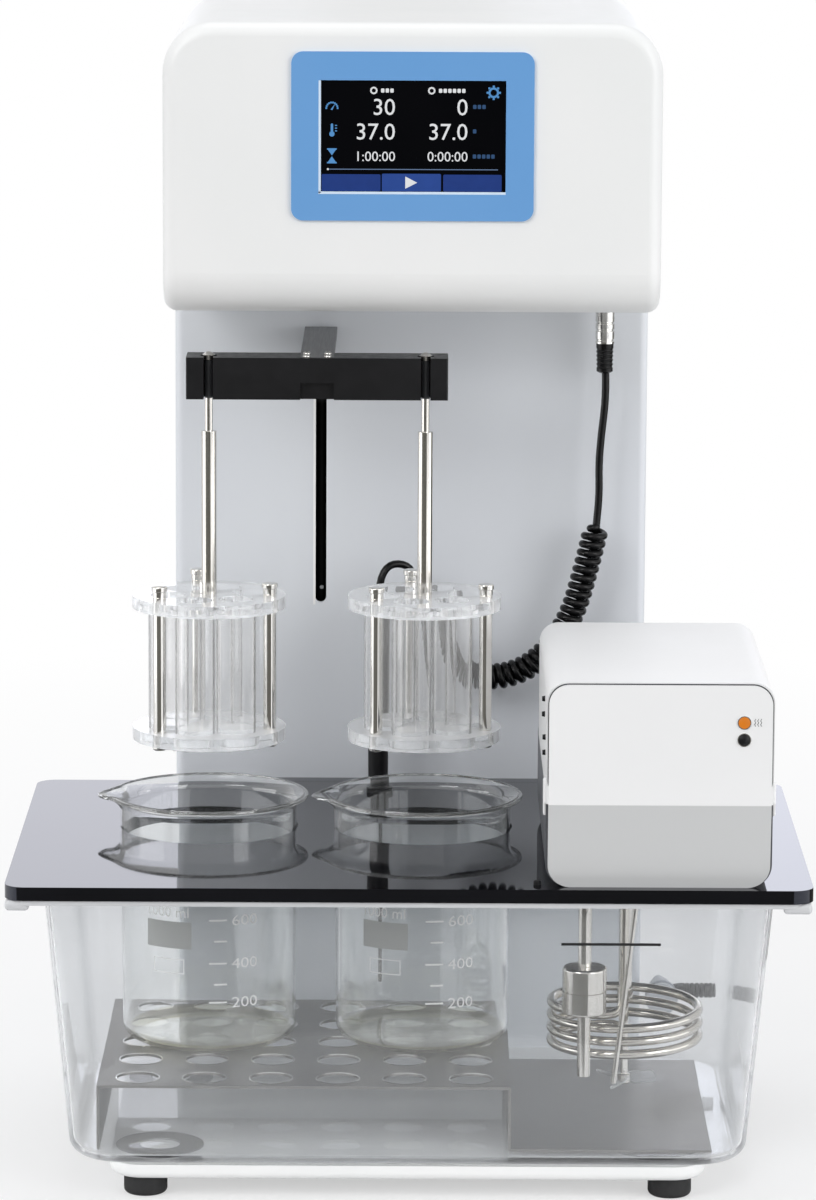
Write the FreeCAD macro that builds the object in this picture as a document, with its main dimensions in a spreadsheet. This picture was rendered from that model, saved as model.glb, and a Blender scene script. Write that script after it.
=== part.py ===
"""Tablet disintegration tester: two basket racks that a motor lifts and lowers in beakers in a water bath.

The frame has +X to the right, +Y to the back and +Z up. Its origin is on the bench, midway between
the front of the lid and the back of the mains inlet. All sizes are in millimetres.
"""
import FreeCAD, Part
import Sketcher
import math
import os
import re

from FreeCAD import Rotation, Vector

SIZES = {
    # feet, base plate and the pads that the tank stands on
    "foot_dia": 26,
    "foot_tall": 12,
    "foot_inset_side": 21,
    "foot_inset_end": 18,
    "base_width": 350,
    "base_thick": 9,
    "base_corner": 14,
    "base_setback": 35,
    "pad_dia": 52,
    "pad_bore": 24,
    "pad_thick": 1,
    "pad_side_inset": 52,
    "pad_end_inset": 45.3,
    # lid
    "lid_width": 465,
    "lid_depth": 300,
    "lid_thick": 8,
    "lid_corner": 12,
    "lid_height": 195,
    "lid_hole_gap": 1.1,
    "probe_hole_dia": 9,
    # tank
    "tank_width": 426,
    "tank_front_overhang": 14.8,
    "tank_back_overhang": 12,
    "tank_draft": 5,
    "tank_corner": 34,
    "tank_heel": 10,
    "tank_wall": 3,
    "tank_floor": 4,
    "rim_thick": 3,
    "rim_inset": 1.5,
    # stepped tray
    "tray_sheet": 1.5,
    "tray_rise": 39,
    "tray_left_gap": 8,
    "deck_width": 243,
    "deck_front_gap": 17.2,
    "deck_back_gap": 14.1,
    "floor_plate_width": 118,
    "tray_hole_dia": 25,
    "tray_hole_pitch_x": 39.3,
    "tray_hole_pitch_y": 42.5,
    "tray_hole_columns": 6,
    "tray_hole_rows": 5,
    # beakers
    "beaker_dia": 105,
    "beaker_wall": 2.5,
    "beaker_tall": 149.7,
    "beaker_heel": 9,
    "beaker_lip": 7.2,
    # housing
    "housing_width": 293,
    "housing_wall": 3,
    "column_gap": 10,
    "column_depth": 85,
    "column_corner": 5,
    "head_height": 508,
    "head_tall": 172,
    "head_reach": 171,
    "head_corner": 30,
    "head_chin": 25,
    "head_brow": 8,
    "cover_thick": 2,
    "rear_proud": 2,
    "cover_screw_dia": 3,
    "cover_screw_head": 6,
    "cover_screw_head_thick": 1.5,
    "boss_dia": 8,
    "boss_long": 12,
    "boss_sink": 0.5,
    "boss_from_end": 20,
    "column_screw_rows": 3,
    "head_screw_rows": 2,
    # display
    "bezel_width": 142,
    "bezel_tall": 98.8,
    "bezel_corner": 7,
    "bezel_thick": 2,
    "bezel_height": 564.5,
    "view_width": 109,
    "view_tall": 65.5,
    "screen_border": 5,
    "screen_thick": 6,
    "board_margin": 4,
    "board_thick": 1.6,
    "board_parts_thick": 9,
    # power supply and mains inlet
    "supply_width": 110,
    "supply_depth": 34,
    "supply_tall": 98,
    "supply_height": 60,
    "supply_side": 65,
    "inlet_height": 206,
    "inlet_width": 50,
    "inlet_tall": 32,
    "inlet_deep": 24,
    "inlet_margin": 3,
    "socket_width": 22,
    "socket_tall": 16,
    "socket_deep": 16,
    "socket_shift": 9,
    "rocker_radius": 8.8,
    "rocker_width": 11,
    "rocker_shift": 14,
    "rocker_gap": 0.4,
    "rocker_face": 3,
    "rocker_inset": 2,
    # lift inside the column
    "work_side": -56,
    "slot_width": 7,
    "slot_top_spare": 2.1,
    "slot_low_spare": 3.4,
    "lift_travel": 150,
    "screw_dia": 8,
    "screw_behind": 30,
    "rod_dia": 10,
    "rod_spacing": 56,
    "chassis_thick": 4,
    "chassis_width": 90,
    "chassis_behind": 25,
    "chassis_front": 18,
    "flange_thick": 4,
    "top_flange_above": 16,
    "low_flange_below": 24,
    "motor_side": 42,
    "motor_tall": 48,
    "motor_collar_dia": 22,
    "motor_collar_tall": 3,
    "screw_seat": 15,
    "carriage_width": 84,
    "carriage_depth": 34,
    "carriage_tall": 60,
    "carriage_rise": 9,
    "carriage_front_gap": 3,
    "nut_body_dia": 14,
    "nut_body_tall": 20,
    "nut_flange_dia": 26,
    "nut_flange_tall": 4,
    "run_gap": 0.06,
    "screw_pass_gap": 1.5,
    # arm and crossbar
    "arm_height": 476.4,
    "arm_width": 20,
    "arm_thick": 4,
    "arm_gap": 1,
    "web_thick": 5,
    "web_deep": 16,
    "arm_pad_width": 30,
    "arm_pad_thick": 5,
    "arm_pad_tall": 50,
    "arm_screw_dia": 3,
    "arm_screw_long": 12,
    "arm_screw_head": 4.6,
    "arm_screw_head_tall": 1.6,
    "arm_screw_pitch_x": 12.6,
    "arm_screw_pitch_y": 13,
    "bar_wide": 155.5,
    "bar_deep": 25,
    "bar_tall": 25,
    "bar_groove": 4,
    "bar_groove_lip": 4,
    "bar_shift": 1,
    "work_depth": -29,
    "basket_spacing": 129,
    "notch_gap": 0.5,
    "seat_dia": 10.4,
    "seat_deep": 2.6,
    "bar_recess_wide": 20,
    "bar_recess_tall": 10,
    "bar_recess_deep": 4,
    # basket racks
    "seat_gap": 0.3,
    "hook_dia": 8,
    "hook_tall": 2.8,
    "thin_rod_dia": 4.6,
    "thin_rod_long": 43.1,
    "thick_rod_dia": 9,
    "thick_rod_long": 98.5,
    "rod_stub_dia": 5,
    "rod_nut_dia": 10,
    "rod_nut_tall": 4,
    "plate_dia": 92,
    "plate_thick": 7.5,
    "plate_space": 72.5,
    "tube_count": 6,
    "tube_circle": 49.6,
    "tube_dia": 24,
    "tube_wall": 1.3,
    "tube_seat": 2.5,
    "tube_seat_gap": 0.1,
    "post_count": 3,
    "post_circle": 77,
    "post_dia": 7.7,
    "post_stub_dia": 5,
    "post_turn": -18,
    "post_nut_dia": 9.6,
    "post_nut_tall": 9.5,
    "post_head_dia": 8.5,
    "post_head_tall": 2.4,
    "mesh_dia": 88,
    "mesh_thick": 0.6,
    "disc_dia": 20.7,
    "disc_tall": 9.5,
    # heater and stirrer unit
    "unit_side": 143.2,
    "unit_width": 130,
    "unit_depth": 207,
    "unit_front_inset": 1,
    "unit_tray_tall": 49.5,
    "unit_tray_inset": 0.5,
    "unit_tray_rake": 6.5,
    "unit_floor": 3,
    "unit_wall": 2.5,
    "unit_corner": 13,
    "hood_tall": 71,
    "hood_corner": 11.5,
    "hatch_side_gap": 8,
    "hatch_end_gap": 24,
    "panel_inset": 1.2,
    "lamp_dia": 7,
    "lamp_proud": 0.9,
    "lamp_side": 47.5,
    "lamp_drop": 22.5,
    "lamp_pitch": 10,
    "stir_side": -14.2,
    "stir_depth": -86,
    "coil_dia": 94,
    "coil_tube": 5.6,
    "coil_pitch": 8.4,
    "coil_turns": 4,
    "coil_height": 75.2,
    "coil_leg_step": 10,
    "stirrer_tube_dia": 8,
    "stirrer_tube_wall": 1,
    "stirrer_tube_low": 104,
    "stirrer_collar_dia": 9.4,
    "stirrer_collar_tall": 5,
    "shaft_dia": 4.4,
    "shaft_low": 51,
    "impeller_hub_dia": 7.4,
    "impeller_hub_tall": 6,
    "impeller_span": 40,
    "impeller_blade": 1.5,
    "impeller_blades": 3,
    "drive_dia": 44,
    "drive_tall": 58,
    "drive_collar_dia": 16,
    "float_side": -40.2,
    "float_depth": -141,
    "float_stem_dia": 7.8,
    "float_stem_low": 70,
    "float_sink_gap": 0.6,
    "float_stop_dia": 11,
    "float_stop_tall": 2,
    "float_dia": 26,
    "float_tall": 28,
    "float_round": 2,
    "float_low": 108,
    "float_gap": 0.4,
    "float_travel": 38,
    "cutout_dia": 3.2,
    "cutout_side_high": -8,
    "cutout_side_low": -22.6,
    "cutout_depth": -141,
    "cutout_low": 65.6,
    # drain tap
    "tap_side": 158.5,
    "tap_height": 63,
    "tap_barrel_dia": 12,
    "tap_flange_dia": 20,
    "tap_flange_thick": 3,
    "tap_washer": 0.4,
    "tap_body_dia": 14,
    "tap_body_long": 22,
    "tap_spout_dia": 8,
    "tap_spout_long": 16,
    "tap_stem_dia": 5,
    "tap_knob_dia": 9.5,
    "tap_knob_long": 28,
    # temperature probe and its lead
    "probe_side": -19.5,
    "probe_depth": 70.5,
    "handle_collar_dia": 17,
    "handle_collar_thick": 3,
    "handle_dia": 12,
    "handle_top_dia": 14.5,
    "handle_tall": 119,
    "probe_stem_dia": 2.6,
    "probe_stem_low": 74,
    "socket_bush_dia": 14,
    "socket_bush_proud": 1.5,
    "plug_side": 119,
    "plug_depth": 86.5,
    "plug_dia": 10.5,
    "plug_sleeve": 15,
    "plug_boot_dia": 8.4,
    "plug_boot_long": 18,
    "lead_dia": 4.7,
    "curl_dia": 16.5,
}

PLACES = {
    # front to back
    "front_y": "-(lid_depth + column_gap + column_depth + cover_thick + rear_proud) / 2",
    "lid_back": "front_y + lid_depth",
    "column_front": "lid_back + column_gap",
    "column_back": "column_front + column_depth",
    "cover_back": "column_back + cover_thick",
    "head_front": "column_front - head_reach",
    "base_front": "front_y + base_setback",
    # bottom to top
    "base_top": "foot_tall + base_thick",
    "head_top": "head_height + head_tall",
    "tank_low": "base_top + pad_thick",
    "tank_inside_low": "tank_low + tank_floor",
    "lid_low": "lid_height - lid_thick",
    "tank_high": "lid_low - rim_thick",
    "deck_top": "tank_inside_low + tray_rise",
    # tank: the walls lean in by the draft from the rim down to the floor
    "tank_lean": "(lid_low - tank_low) * tan(tank_draft)",
    "tank_front": "front_y + tank_front_overhang",
    "tank_back": "lid_back - tank_back_overhang",
    "tank_side_low": "tank_width / 2 - tank_lean",
    "tank_front_low": "tank_front + tank_lean",
    "tank_back_low": "tank_back - tank_lean",
    # tray
    "tray_left": "-tank_side_low + tank_wall + tray_left_gap + tank_heel / 2",
    "deck_right": "tray_left + deck_width",
    "deck_front": "tank_front_low + tank_wall + deck_front_gap",
    "deck_back": "tank_back_low - tank_wall - deck_back_gap",
    # arm, crossbar and racks
    "bar_top": "arm_height + bar_groove",
    "bar_low": "bar_top - bar_tall",
    "bar_front": "work_depth - bar_deep / 2 + bar_shift",
    "bar_back": "bar_front + bar_deep",
    "groove_front": "bar_front + bar_groove_lip",
    "web_low": "arm_height - web_deep",
    "seat_height": "bar_top - seat_deep",
    "plate_top": "seat_height + seat_gap - thin_rod_long - thick_rod_long",
    "plate_low": "plate_top - plate_thick",
    "low_plate_top": "plate_low - plate_space",
    "low_plate_low": "low_plate_top - plate_thick",
    "lid_hole_dia": "beaker_dia + 2 * lid_hole_gap",
    # lift
    "screw_y": "column_front + screw_behind",
    "chassis_y": "screw_y + chassis_behind",
    "carriage_front": "column_front + housing_wall + arm_pad_thick + carriage_front_gap",
    "carriage_middle": "arm_height + arm_thick - arm_pad_tall / 2 + carriage_rise",
    "carriage_low": "carriage_middle - carriage_tall / 2",
    "carriage_high": "carriage_middle + carriage_tall / 2",
    "top_flange_low": "carriage_high + top_flange_above",
    "nut_low": "carriage_low - nut_flange_tall",
    "low_flange_top": "nut_low - lift_travel - low_flange_below",
    "motor_top": "low_flange_top - flange_thick",
    "slot_high": "arm_height + slot_top_spare",
    "slot_low": "web_low - lift_travel - slot_low_spare",
    # heater and stirrer unit
    "unit_left": "unit_side - unit_width / 2",
    "unit_right": "unit_side + unit_width / 2",
    "unit_front": "front_y + unit_front_inset",
    "unit_back": "unit_front + unit_depth",
    "tray_high": "lid_height + unit_tray_tall",
    "unit_top": "tray_high + hood_tall",
    "unit_floor_top": "lid_height + unit_floor",
    "stir_x": "unit_side + stir_side",
    "float_x": "unit_side + float_side",
    "cutout_x": "unit_side + cutout_side_low",
    "cutout_run": "lid_height - cutout_low",
    "cutout_lean": "atan((cutout_side_high - cutout_side_low) / cutout_run)",
}

MESH_SLACK = 0.001
doc = FreeCAD.newDocument("DisintegrationTester")
finished = []


# ---- sheets and formulas ------------------------------------------------------------------------

def linked(formula, own=None):
    """Name the sheet that each size or place of a formula is in; a sheet leaves its own name out."""
    def word(found):
        name = found.group()
        if name in SIZES:
            return "Sizes." + name
        if name in PLACES and own != "Places":
            return "Places." + name
        return name
    return re.sub(r"[a-z_]+", word, str(formula))


def fill_sheet(title, cells, text):
    sheet = doc.addObject("Spreadsheet::Sheet", title)
    for row, (alias, content) in enumerate(cells.items(), start=1):
        sheet.set(f"A{row}", alias)
        sheet.set(f"B{row}", text(content))
        sheet.setAlias(f"B{row}", alias)
    doc.recompute()
    return sheet


sizes = fill_sheet("Sizes", SIZES, str)
places = fill_sheet("Places", PLACES, lambda formula: "=" + linked(formula, own="Places"))


def size(alias):
    """The number that a size or place has now, for the few shapes that Part functions make."""
    sheet = sizes if alias in SIZES else places
    return float(sheet.get(alias))


def tie(thing, where, formula):
    thing.setExpression(where, linked(formula))


def tie_base(thing, x, y, z):
    for axis, formula in zip("xyz", (x, y, z)):
        tie(thing, f"Placement.Base.{axis}", formula)


# ---- simple solids ------------------------------------------------------------------------------

TURNS = {
    "x": Rotation(Vector(0, 1, 0), 90),
    "y": Rotation(Vector(1, 0, 0), -90),
    "z": Rotation(),
}


def box(name, x, y, z):
    """A box between the low and high formulas of each axis."""
    thing = doc.addObject("Part::Box", name)
    for side, (low, high) in zip(("Length", "Width", "Height"), (x, y, z)):
        tie(thing, side, f"({high}) - ({low})")
    tie_base(thing, x[0], y[0], z[0])
    return thing


def rod(name, dia, start, length, axis="z"):
    """A cylinder from its start point along an axis."""
    thing = doc.addObject("Part::Cylinder", name)
    thing.Placement = FreeCAD.Placement(Vector(), TURNS[axis])
    tie(thing, "Radius", f"({dia}) / 2")
    tie(thing, "Height", length)
    tie_base(thing, *start)
    return thing


def cone(name, low_dia, high_dia, start, length, axis="z"):
    thing = doc.addObject("Part::Cone", name)
    thing.Placement = FreeCAD.Placement(Vector(), TURNS[axis])
    tie(thing, "Radius1", f"({low_dia}) / 2")
    tie(thing, "Radius2", f"({high_dia}) / 2")
    tie(thing, "Height", length)
    tie_base(thing, *start)
    return thing


def fuse(name, parts):
    thing = doc.addObject("Part::MultiFuse", name)
    thing.Shapes = parts
    thing.Refine = True
    return thing


def cut(name, body, tools):
    tool = tools[0] if len(tools) == 1 else fuse(name + "_tools", tools)
    thing = doc.addObject("Part::Cut", name)
    thing.Base = body
    thing.Tool = tool
    thing.Refine = True
    return thing


def common(name, one, other):
    thing = doc.addObject("Part::Common", name)
    thing.Base = one
    thing.Tool = other
    return thing


def group(name, parts):
    """Separate solids of one kind under one name."""
    thing = doc.addObject("Part::Compound", name)
    thing.Links = parts
    return thing


def finish(label, thing):
    """Count an object as a finished piece of the tester."""
    thing.Label = label
    finished.append(thing)
    return thing


# ---- bodies with sketches -----------------------------------------------------------------------

def origin_plane(body, role):
    return [plane for plane in body.Origin.OriginFeatures if plane.Role == role][0]


def new_body(name, x, y, z):
    body = doc.addObject("PartDesign::Body", name)
    tie_base(body, x, y, z)
    return body


def new_sketch(body, name, role="XY_Plane"):
    sketch = body.newObject("Sketcher::SketchObject", name)
    sketch.AttachmentSupport = [(origin_plane(body, role), "")]
    sketch.MapMode = "FlatFace"
    return sketch


def add_circle(sketch, tag, dia, across="0", up="0"):
    """A circle in a sketch, tied by its diameter and by its centre's distances from the origin."""
    index = sketch.addGeometry(Part.Circle(Vector(1, 1, 0), Vector(0, 0, 1), 1), False)
    for label, kind, formula in (("across", "DistanceX", across), ("up", "DistanceY", up)):
        if formula == "0":
            line = -2 if kind == "DistanceX" else -1
            sketch.addConstraint(Sketcher.Constraint("PointOnObject", index, 3, line))
            continue
        number = sketch.addConstraint(Sketcher.Constraint(kind, -1, 1, index, 3, 1.0))
        sketch.renameConstraint(number, f"{tag}_{label}")
        tie(sketch, f"Constraints.{tag}_{label}", formula)
    number = sketch.addConstraint(Sketcher.Constraint("Diameter", index, 2.0))
    sketch.renameConstraint(number, f"{tag}_dia")
    tie(sketch, f"Constraints.{tag}_dia", dia)


def add_rectangle(sketch, tag, wide, deep):
    """A rectangle in a sketch, from the origin to its width and depth."""
    corners = [Vector(0, 0, 0), Vector(2, 0, 0), Vector(2, 1, 0), Vector(0, 1, 0)]
    lines = [Part.LineSegment(a, b) for a, b in zip(corners, corners[1:] + corners[:1])]
    first = sketch.addGeometry(lines, False)[0]
    for side in range(4):
        sketch.addConstraint(Sketcher.Constraint("Coincident", first + side, 2, first + (side + 1) % 4, 1))
        kind = "Vertical" if side % 2 else "Horizontal"
        sketch.addConstraint(Sketcher.Constraint(kind, first + side))
    sketch.addConstraint(Sketcher.Constraint("Coincident", first, 1, -1, 1))
    for label, kind, line, formula in (("wide", "DistanceX", 0, wide), ("deep", "DistanceY", 1, deep)):
        number = sketch.addConstraint(Sketcher.Constraint(kind, first + line, 1, first + line, 2, 1.0))
        sketch.renameConstraint(number, f"{tag}_{label}")
        tie(sketch, f"Constraints.{tag}_{label}", formula)


def pad(body, sketch, name, length):
    thing = body.newObject("PartDesign::Pad", name)
    thing.Profile = sketch
    tie(thing, "Length", length)
    return thing


def pocket_up(body, sketch, name, length=None):
    """A pocket from a sketch on the body's XY plane up through the body, or to a depth."""
    before = solid_volume(body)
    thing = body.newObject("PartDesign::Pocket", name)
    thing.Profile = sketch
    thing.Reversed = True
    if length is None:
        thing.Type = "ThroughAll"
    else:
        tie(thing, "Length", length)
    if solid_volume(body) > before - MESH_SLACK:
        raise ValueError(f"{name} cuts nothing")
    return thing


def solid_volume(body):
    doc.recompute()
    return body.Shape.Volume


def repeat_round(body, feature, name, count):
    thing = body.newObject("PartDesign::PolarPattern", name)
    thing.Originals = [feature]
    axis = [line for line in body.Origin.OriginFeatures if line.Role == "Z_Axis"][0]
    thing.Axis = (axis, [""])
    thing.Angle = 360
    tie(thing, "Occurrences", count)
    body.Tip = thing
    return thing


def chosen_edges(shape, rule):
    """Names of straight edges by rule: their axis, then the sides of the shape that they lie on."""
    axis, sides = rule[0], re.findall(r"([-+])([xyz])", rule[1:])
    whole, names = shape.BoundBox, []
    for number, edge in enumerate(shape.Edges, start=1):
        part = edge.BoundBox
        spans = {"x": part.XLength, "y": part.YLength, "z": part.ZLength}
        if any((spans[way] > 0.01) != (way == axis) for way in "xyz"):
            continue
        on_side = {
            "-x": part.XMin - whole.XMin, "+x": part.XMax - whole.XMax,
            "-y": part.YMin - whole.YMin, "+y": part.YMax - whole.YMax,
            "-z": part.ZMin - whole.ZMin, "+z": part.ZMax - whole.ZMax,
        }
        if all(abs(on_side[sign + way]) < 0.01 for sign, way in sides):
            names.append(f"Edge{number}")
    return names


def soft_box(name, x, y, z, *roundings):
    """A box with rounded edges: each rounding is a rule for the edges and a radius."""
    body = new_body(name, x[0], y[0], z[0])
    sketch = new_sketch(body, name + "_outline")
    add_rectangle(sketch, "outline", f"({x[1]}) - ({x[0]})", f"({y[1]}) - ({y[0]})")
    last = pad(body, sketch, name + "_block", f"({z[1]}) - ({z[0]})")
    for number, (rule, radius) in enumerate(roundings, start=1):
        doc.recompute()
        edges = chosen_edges(last.Shape, rule)
        fillet = body.newObject("PartDesign::Fillet", f"{name}_round{number}")
        fillet.Base = (last, edges)
        tie(fillet, "Radius", radius)
        last = fillet
    return body


def both(formula):
    """The low and high formulas of a width that is centred on X = 0."""
    return f"-({formula}) / 2", f"({formula}) / 2"


def about(middle, formula):
    """The low and high formulas of a width about a middle."""
    return f"({middle}) - ({formula}) / 2", f"({middle}) + ({formula}) / 2"


# ---- feet, base plate, pads ---------------------------------------------------------------------

def make_base():
    finish("base_plate", soft_box(
        "base", both("base_width"), ("base_front", "cover_back"), ("foot_tall", "base_top"),
        ("z", "base_corner")))
    feet, pads = [], []
    for side in ("-", ""):
        x = f"{side}(base_width / 2 - foot_inset_side)"
        for y in ("base_front + foot_inset_end", "cover_back - foot_inset_end"):
            feet.append(rod("foot", "foot_dia", (x, y, "0"), "foot_tall"))
        x = f"{side}(tank_side_low - pad_side_inset)"
        for y in ("tank_front_low + pad_end_inset", "tank_back_low - pad_end_inset"):
            ring = rod("pad_ring", "pad_dia", (x, y, "base_top"), "pad_thick")
            bore = rod("pad_hole", "pad_bore", (x, y, "base_top"), "pad_thick")
            pads.append(cut("pad", ring, [bore]))
    finish("rubber_feet", group("feet", feet))
    finish("tank_pads", group("pads", pads))


# ---- housing ------------------------------------------------------------------------------------

def boss_places(low, high, rows):
    """Middles of the cover screws, evenly spaced up both sides between two heights."""
    for side in ("-", ""):
        for row in range(rows):
            share = f"{row} / {rows - 1}"
            x = f"{side}(housing_width / 2 - housing_wall - boss_dia / 2 + boss_sink)"
            yield x, f"({low}) + (({high}) - ({low})) * {share}"


COLUMN_SCREWS = ("base_top + boss_from_end", "head_height - boss_from_end",
                 SIZES["column_screw_rows"])
HEAD_SCREWS = ("head_height + boss_from_end", "head_top - head_corner - boss_dia",
                SIZES["head_screw_rows"])


def with_bosses(name, shell, screws):
    """A shell with its screw bosses, which reach forward from the cover along the side walls."""
    bosses, holes = [], []
    for x, z in boss_places(*screws):
        start = (x, "column_back - boss_long", z)
        bosses.append(rod(name + "_boss", "boss_dia", start, "boss_long", "y"))
        holes.append(rod(name + "_pilot", "cover_screw_dia", start, "boss_long", "y"))
    return cut(name + "_drilled", fuse(name + "_bossed", [shell] + bosses), holes)


def make_column():
    inner = both("housing_width - 2 * housing_wall")
    outside = soft_box(
        "column_outside", both("housing_width"), ("column_front", "column_back"),
        ("base_top", "head_height"), ("z-y", "column_corner"))
    inside = box("column_inside", inner, ("column_front + housing_wall", "column_back + 1"),
                 ("base_top - 1", "head_height + 1"))
    depth = ("column_front - 1", "housing_wall + 2")
    slot = [box("slot_middle", about("work_side", "slot_width"),
                (depth[0], f"{depth[0]} + {depth[1]}"),
                ("slot_low + slot_width / 2", "slot_high - slot_width / 2"))]
    for z in ("slot_low + slot_width / 2", "slot_high - slot_width / 2"):
        slot.append(rod("slot_end", "slot_width", ("work_side", depth[0], z), depth[1], "y"))
    shell = cut("column_walls", outside, [inside] + slot)
    finish("column_shell", with_bosses("column", shell, COLUMN_SCREWS))


def make_head():
    outside = soft_box(
        "head_outside", both("housing_width"), ("head_front", "column_back"),
        ("head_height", "head_top"),
        ("y+z", "head_corner"), ("x-y-z", "head_chin"), ("x-y+z", "head_brow"))
    wall = "housing_wall"
    inside = soft_box(
        "head_inside", both(f"housing_width - 2 * {wall}"),
        (f"head_front + {wall}", "column_back + 1"),
        (f"head_height + {wall}", f"head_top - {wall}"),
        ("y+z", f"head_corner - {wall}"), ("x-y-z", f"head_chin - {wall}"))
    neck = box("head_neck", both(f"housing_width - 2 * {wall}"),
               (f"column_front + {wall}", "column_back + 1"),
               ("head_height - 1", f"head_height + {wall} + 1"))
    window = box("head_window", both("view_width + 2 * screen_border"),
                 ("head_front - 1", f"head_front + {wall} + 1"),
                 ("bezel_height + (bezel_tall - view_tall) / 2 - screen_border",
                  "bezel_height + (bezel_tall + view_tall) / 2 + screen_border"))
    plug_hole = rod("head_socket_hole", "socket_bush_dia",
                    ("plug_side", "plug_depth", "head_height - 1"), f"{wall} + 2")
    shell = cut("head_walls", outside, [inside, neck, window, plug_hole])
    finish("head_shell", with_bosses("head", shell, HEAD_SCREWS))


def make_cover():
    panel = soft_box(
        "cover_panel", both("housing_width"), ("column_back", "cover_back"),
        ("base_top", "head_top"), ("y+z", "head_corner"))
    openings = [box("cover_inlet_hole", about("supply_side", "inlet_width - 2 * inlet_margin"),
                    ("column_back - 1", "cover_back + 1"),
                    about("inlet_height", "inlet_tall - 2 * inlet_margin"))]
    screws = []
    for low, high, rows in (COLUMN_SCREWS, HEAD_SCREWS):
        for x, z in boss_places(low, high, rows):
            openings.append(rod("cover_screw_hole", "cover_screw_dia",
                                (x, "column_back - 1", z), "cover_thick + 2", "y"))
            shank = rod("cover_screw_shank", "cover_screw_dia",
                        (x, "column_back - boss_long + 2", z), "boss_long - 2 + cover_thick", "y")
            head = rod("cover_screw_cap", "cover_screw_head",
                       (x, "cover_back", z), "cover_screw_head_thick", "y")
            screws.append(fuse("cover_screw", [shank, head]))
    finish("rear_cover", cut("cover", panel, openings))
    finish("cover_screws", group("cover_screw_set", screws))


def make_display():
    middle = "bezel_height + bezel_tall / 2"
    frame = soft_box(
        "bezel_frame", both("bezel_width"), ("head_front - bezel_thick", "head_front"),
        ("bezel_height", "bezel_height + bezel_tall"), ("y", "bezel_corner"))
    view = box("bezel_view", both("view_width"), ("head_front - bezel_thick - 1", "head_front + 1"),
               about(middle, "view_tall"))
    finish("bezel", cut("bezel_ring", frame, [view]))
    screen_width = "view_width + 2 * screen_border - 0.6"
    screen_tall = "view_tall + 2 * screen_border - 0.6"
    finish("touch_screen", box("screen", both(screen_width), ("head_front", "head_front + screen_thick"),
                               about(middle, screen_tall)))
    back = "head_front + screen_thick"
    board_width = f"{screen_width} - 2 * board_margin"
    board_tall = f"{screen_tall} - 2 * board_margin"
    board = box("board_sheet", both(board_width), (back, f"{back} + board_thick"),
                about(middle, board_tall))
    part_y = (f"{back} + board_thick", f"{back} + board_thick + board_parts_thick")
    parts = [box("board_part", about(f"({board_width}) * {share}", f"({board_width}) / 8"), part_y,
                 about(middle, f"({board_tall}) * 0.6")) for share in (-0.3, 0.0, 0.3)]
    finish("control_board", fuse("board", [board] + parts))


def make_power():
    finish("power_supply", soft_box(
        "supply", about("supply_side", "supply_width"), ("column_back - supply_depth", "column_back"),
        ("supply_height", "supply_height + supply_tall"), ("y", "2")))
    flange = soft_box("inlet_flange", about("supply_side", "inlet_width"),
                      ("cover_back", "cover_back + rear_proud"), about("inlet_height", "inlet_tall"),
                      ("y", "inlet_margin"))
    block = box("inlet_block", about("supply_side", "inlet_width - 2 * inlet_margin"),
                ("cover_back - inlet_deep", "cover_back"),
                about("inlet_height", "inlet_tall - 2 * inlet_margin"))
    socket = box("inlet_socket", about("supply_side - socket_shift", "socket_width"),
                 ("cover_back + rear_proud - socket_deep", "cover_back + rear_proud + 1"),
                 about("inlet_height", "socket_tall"))
    pivot = ("cover_back - rocker_inset", "inlet_height")
    middle = "supply_side + rocker_shift"
    recess = rod("rocker_recess", "2 * (rocker_radius + rocker_gap)",
                 (f"{middle} - rocker_width / 2 - rocker_gap", *pivot), "rocker_width + 2 * rocker_gap", "x")
    finish("mains_inlet", cut("inlet", fuse("inlet_solid", [flange, block]), [socket, recess]))
    drum = rod("rocker_drum", "2 * rocker_radius", (f"{middle} - rocker_width / 2", *pivot),
               "rocker_width", "x")
    face = box("rocker_limit", about(middle, "rocker_width + 2"),
               (f"{pivot[0]} - rocker_radius - 1", f"{pivot[0]} + rocker_face"),
               about("inlet_height", "2 * rocker_radius + 2"))
    finish("switch_rocker", common("rocker", drum, face))


# ---- lift ---------------------------------------------------------------------------------------

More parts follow.
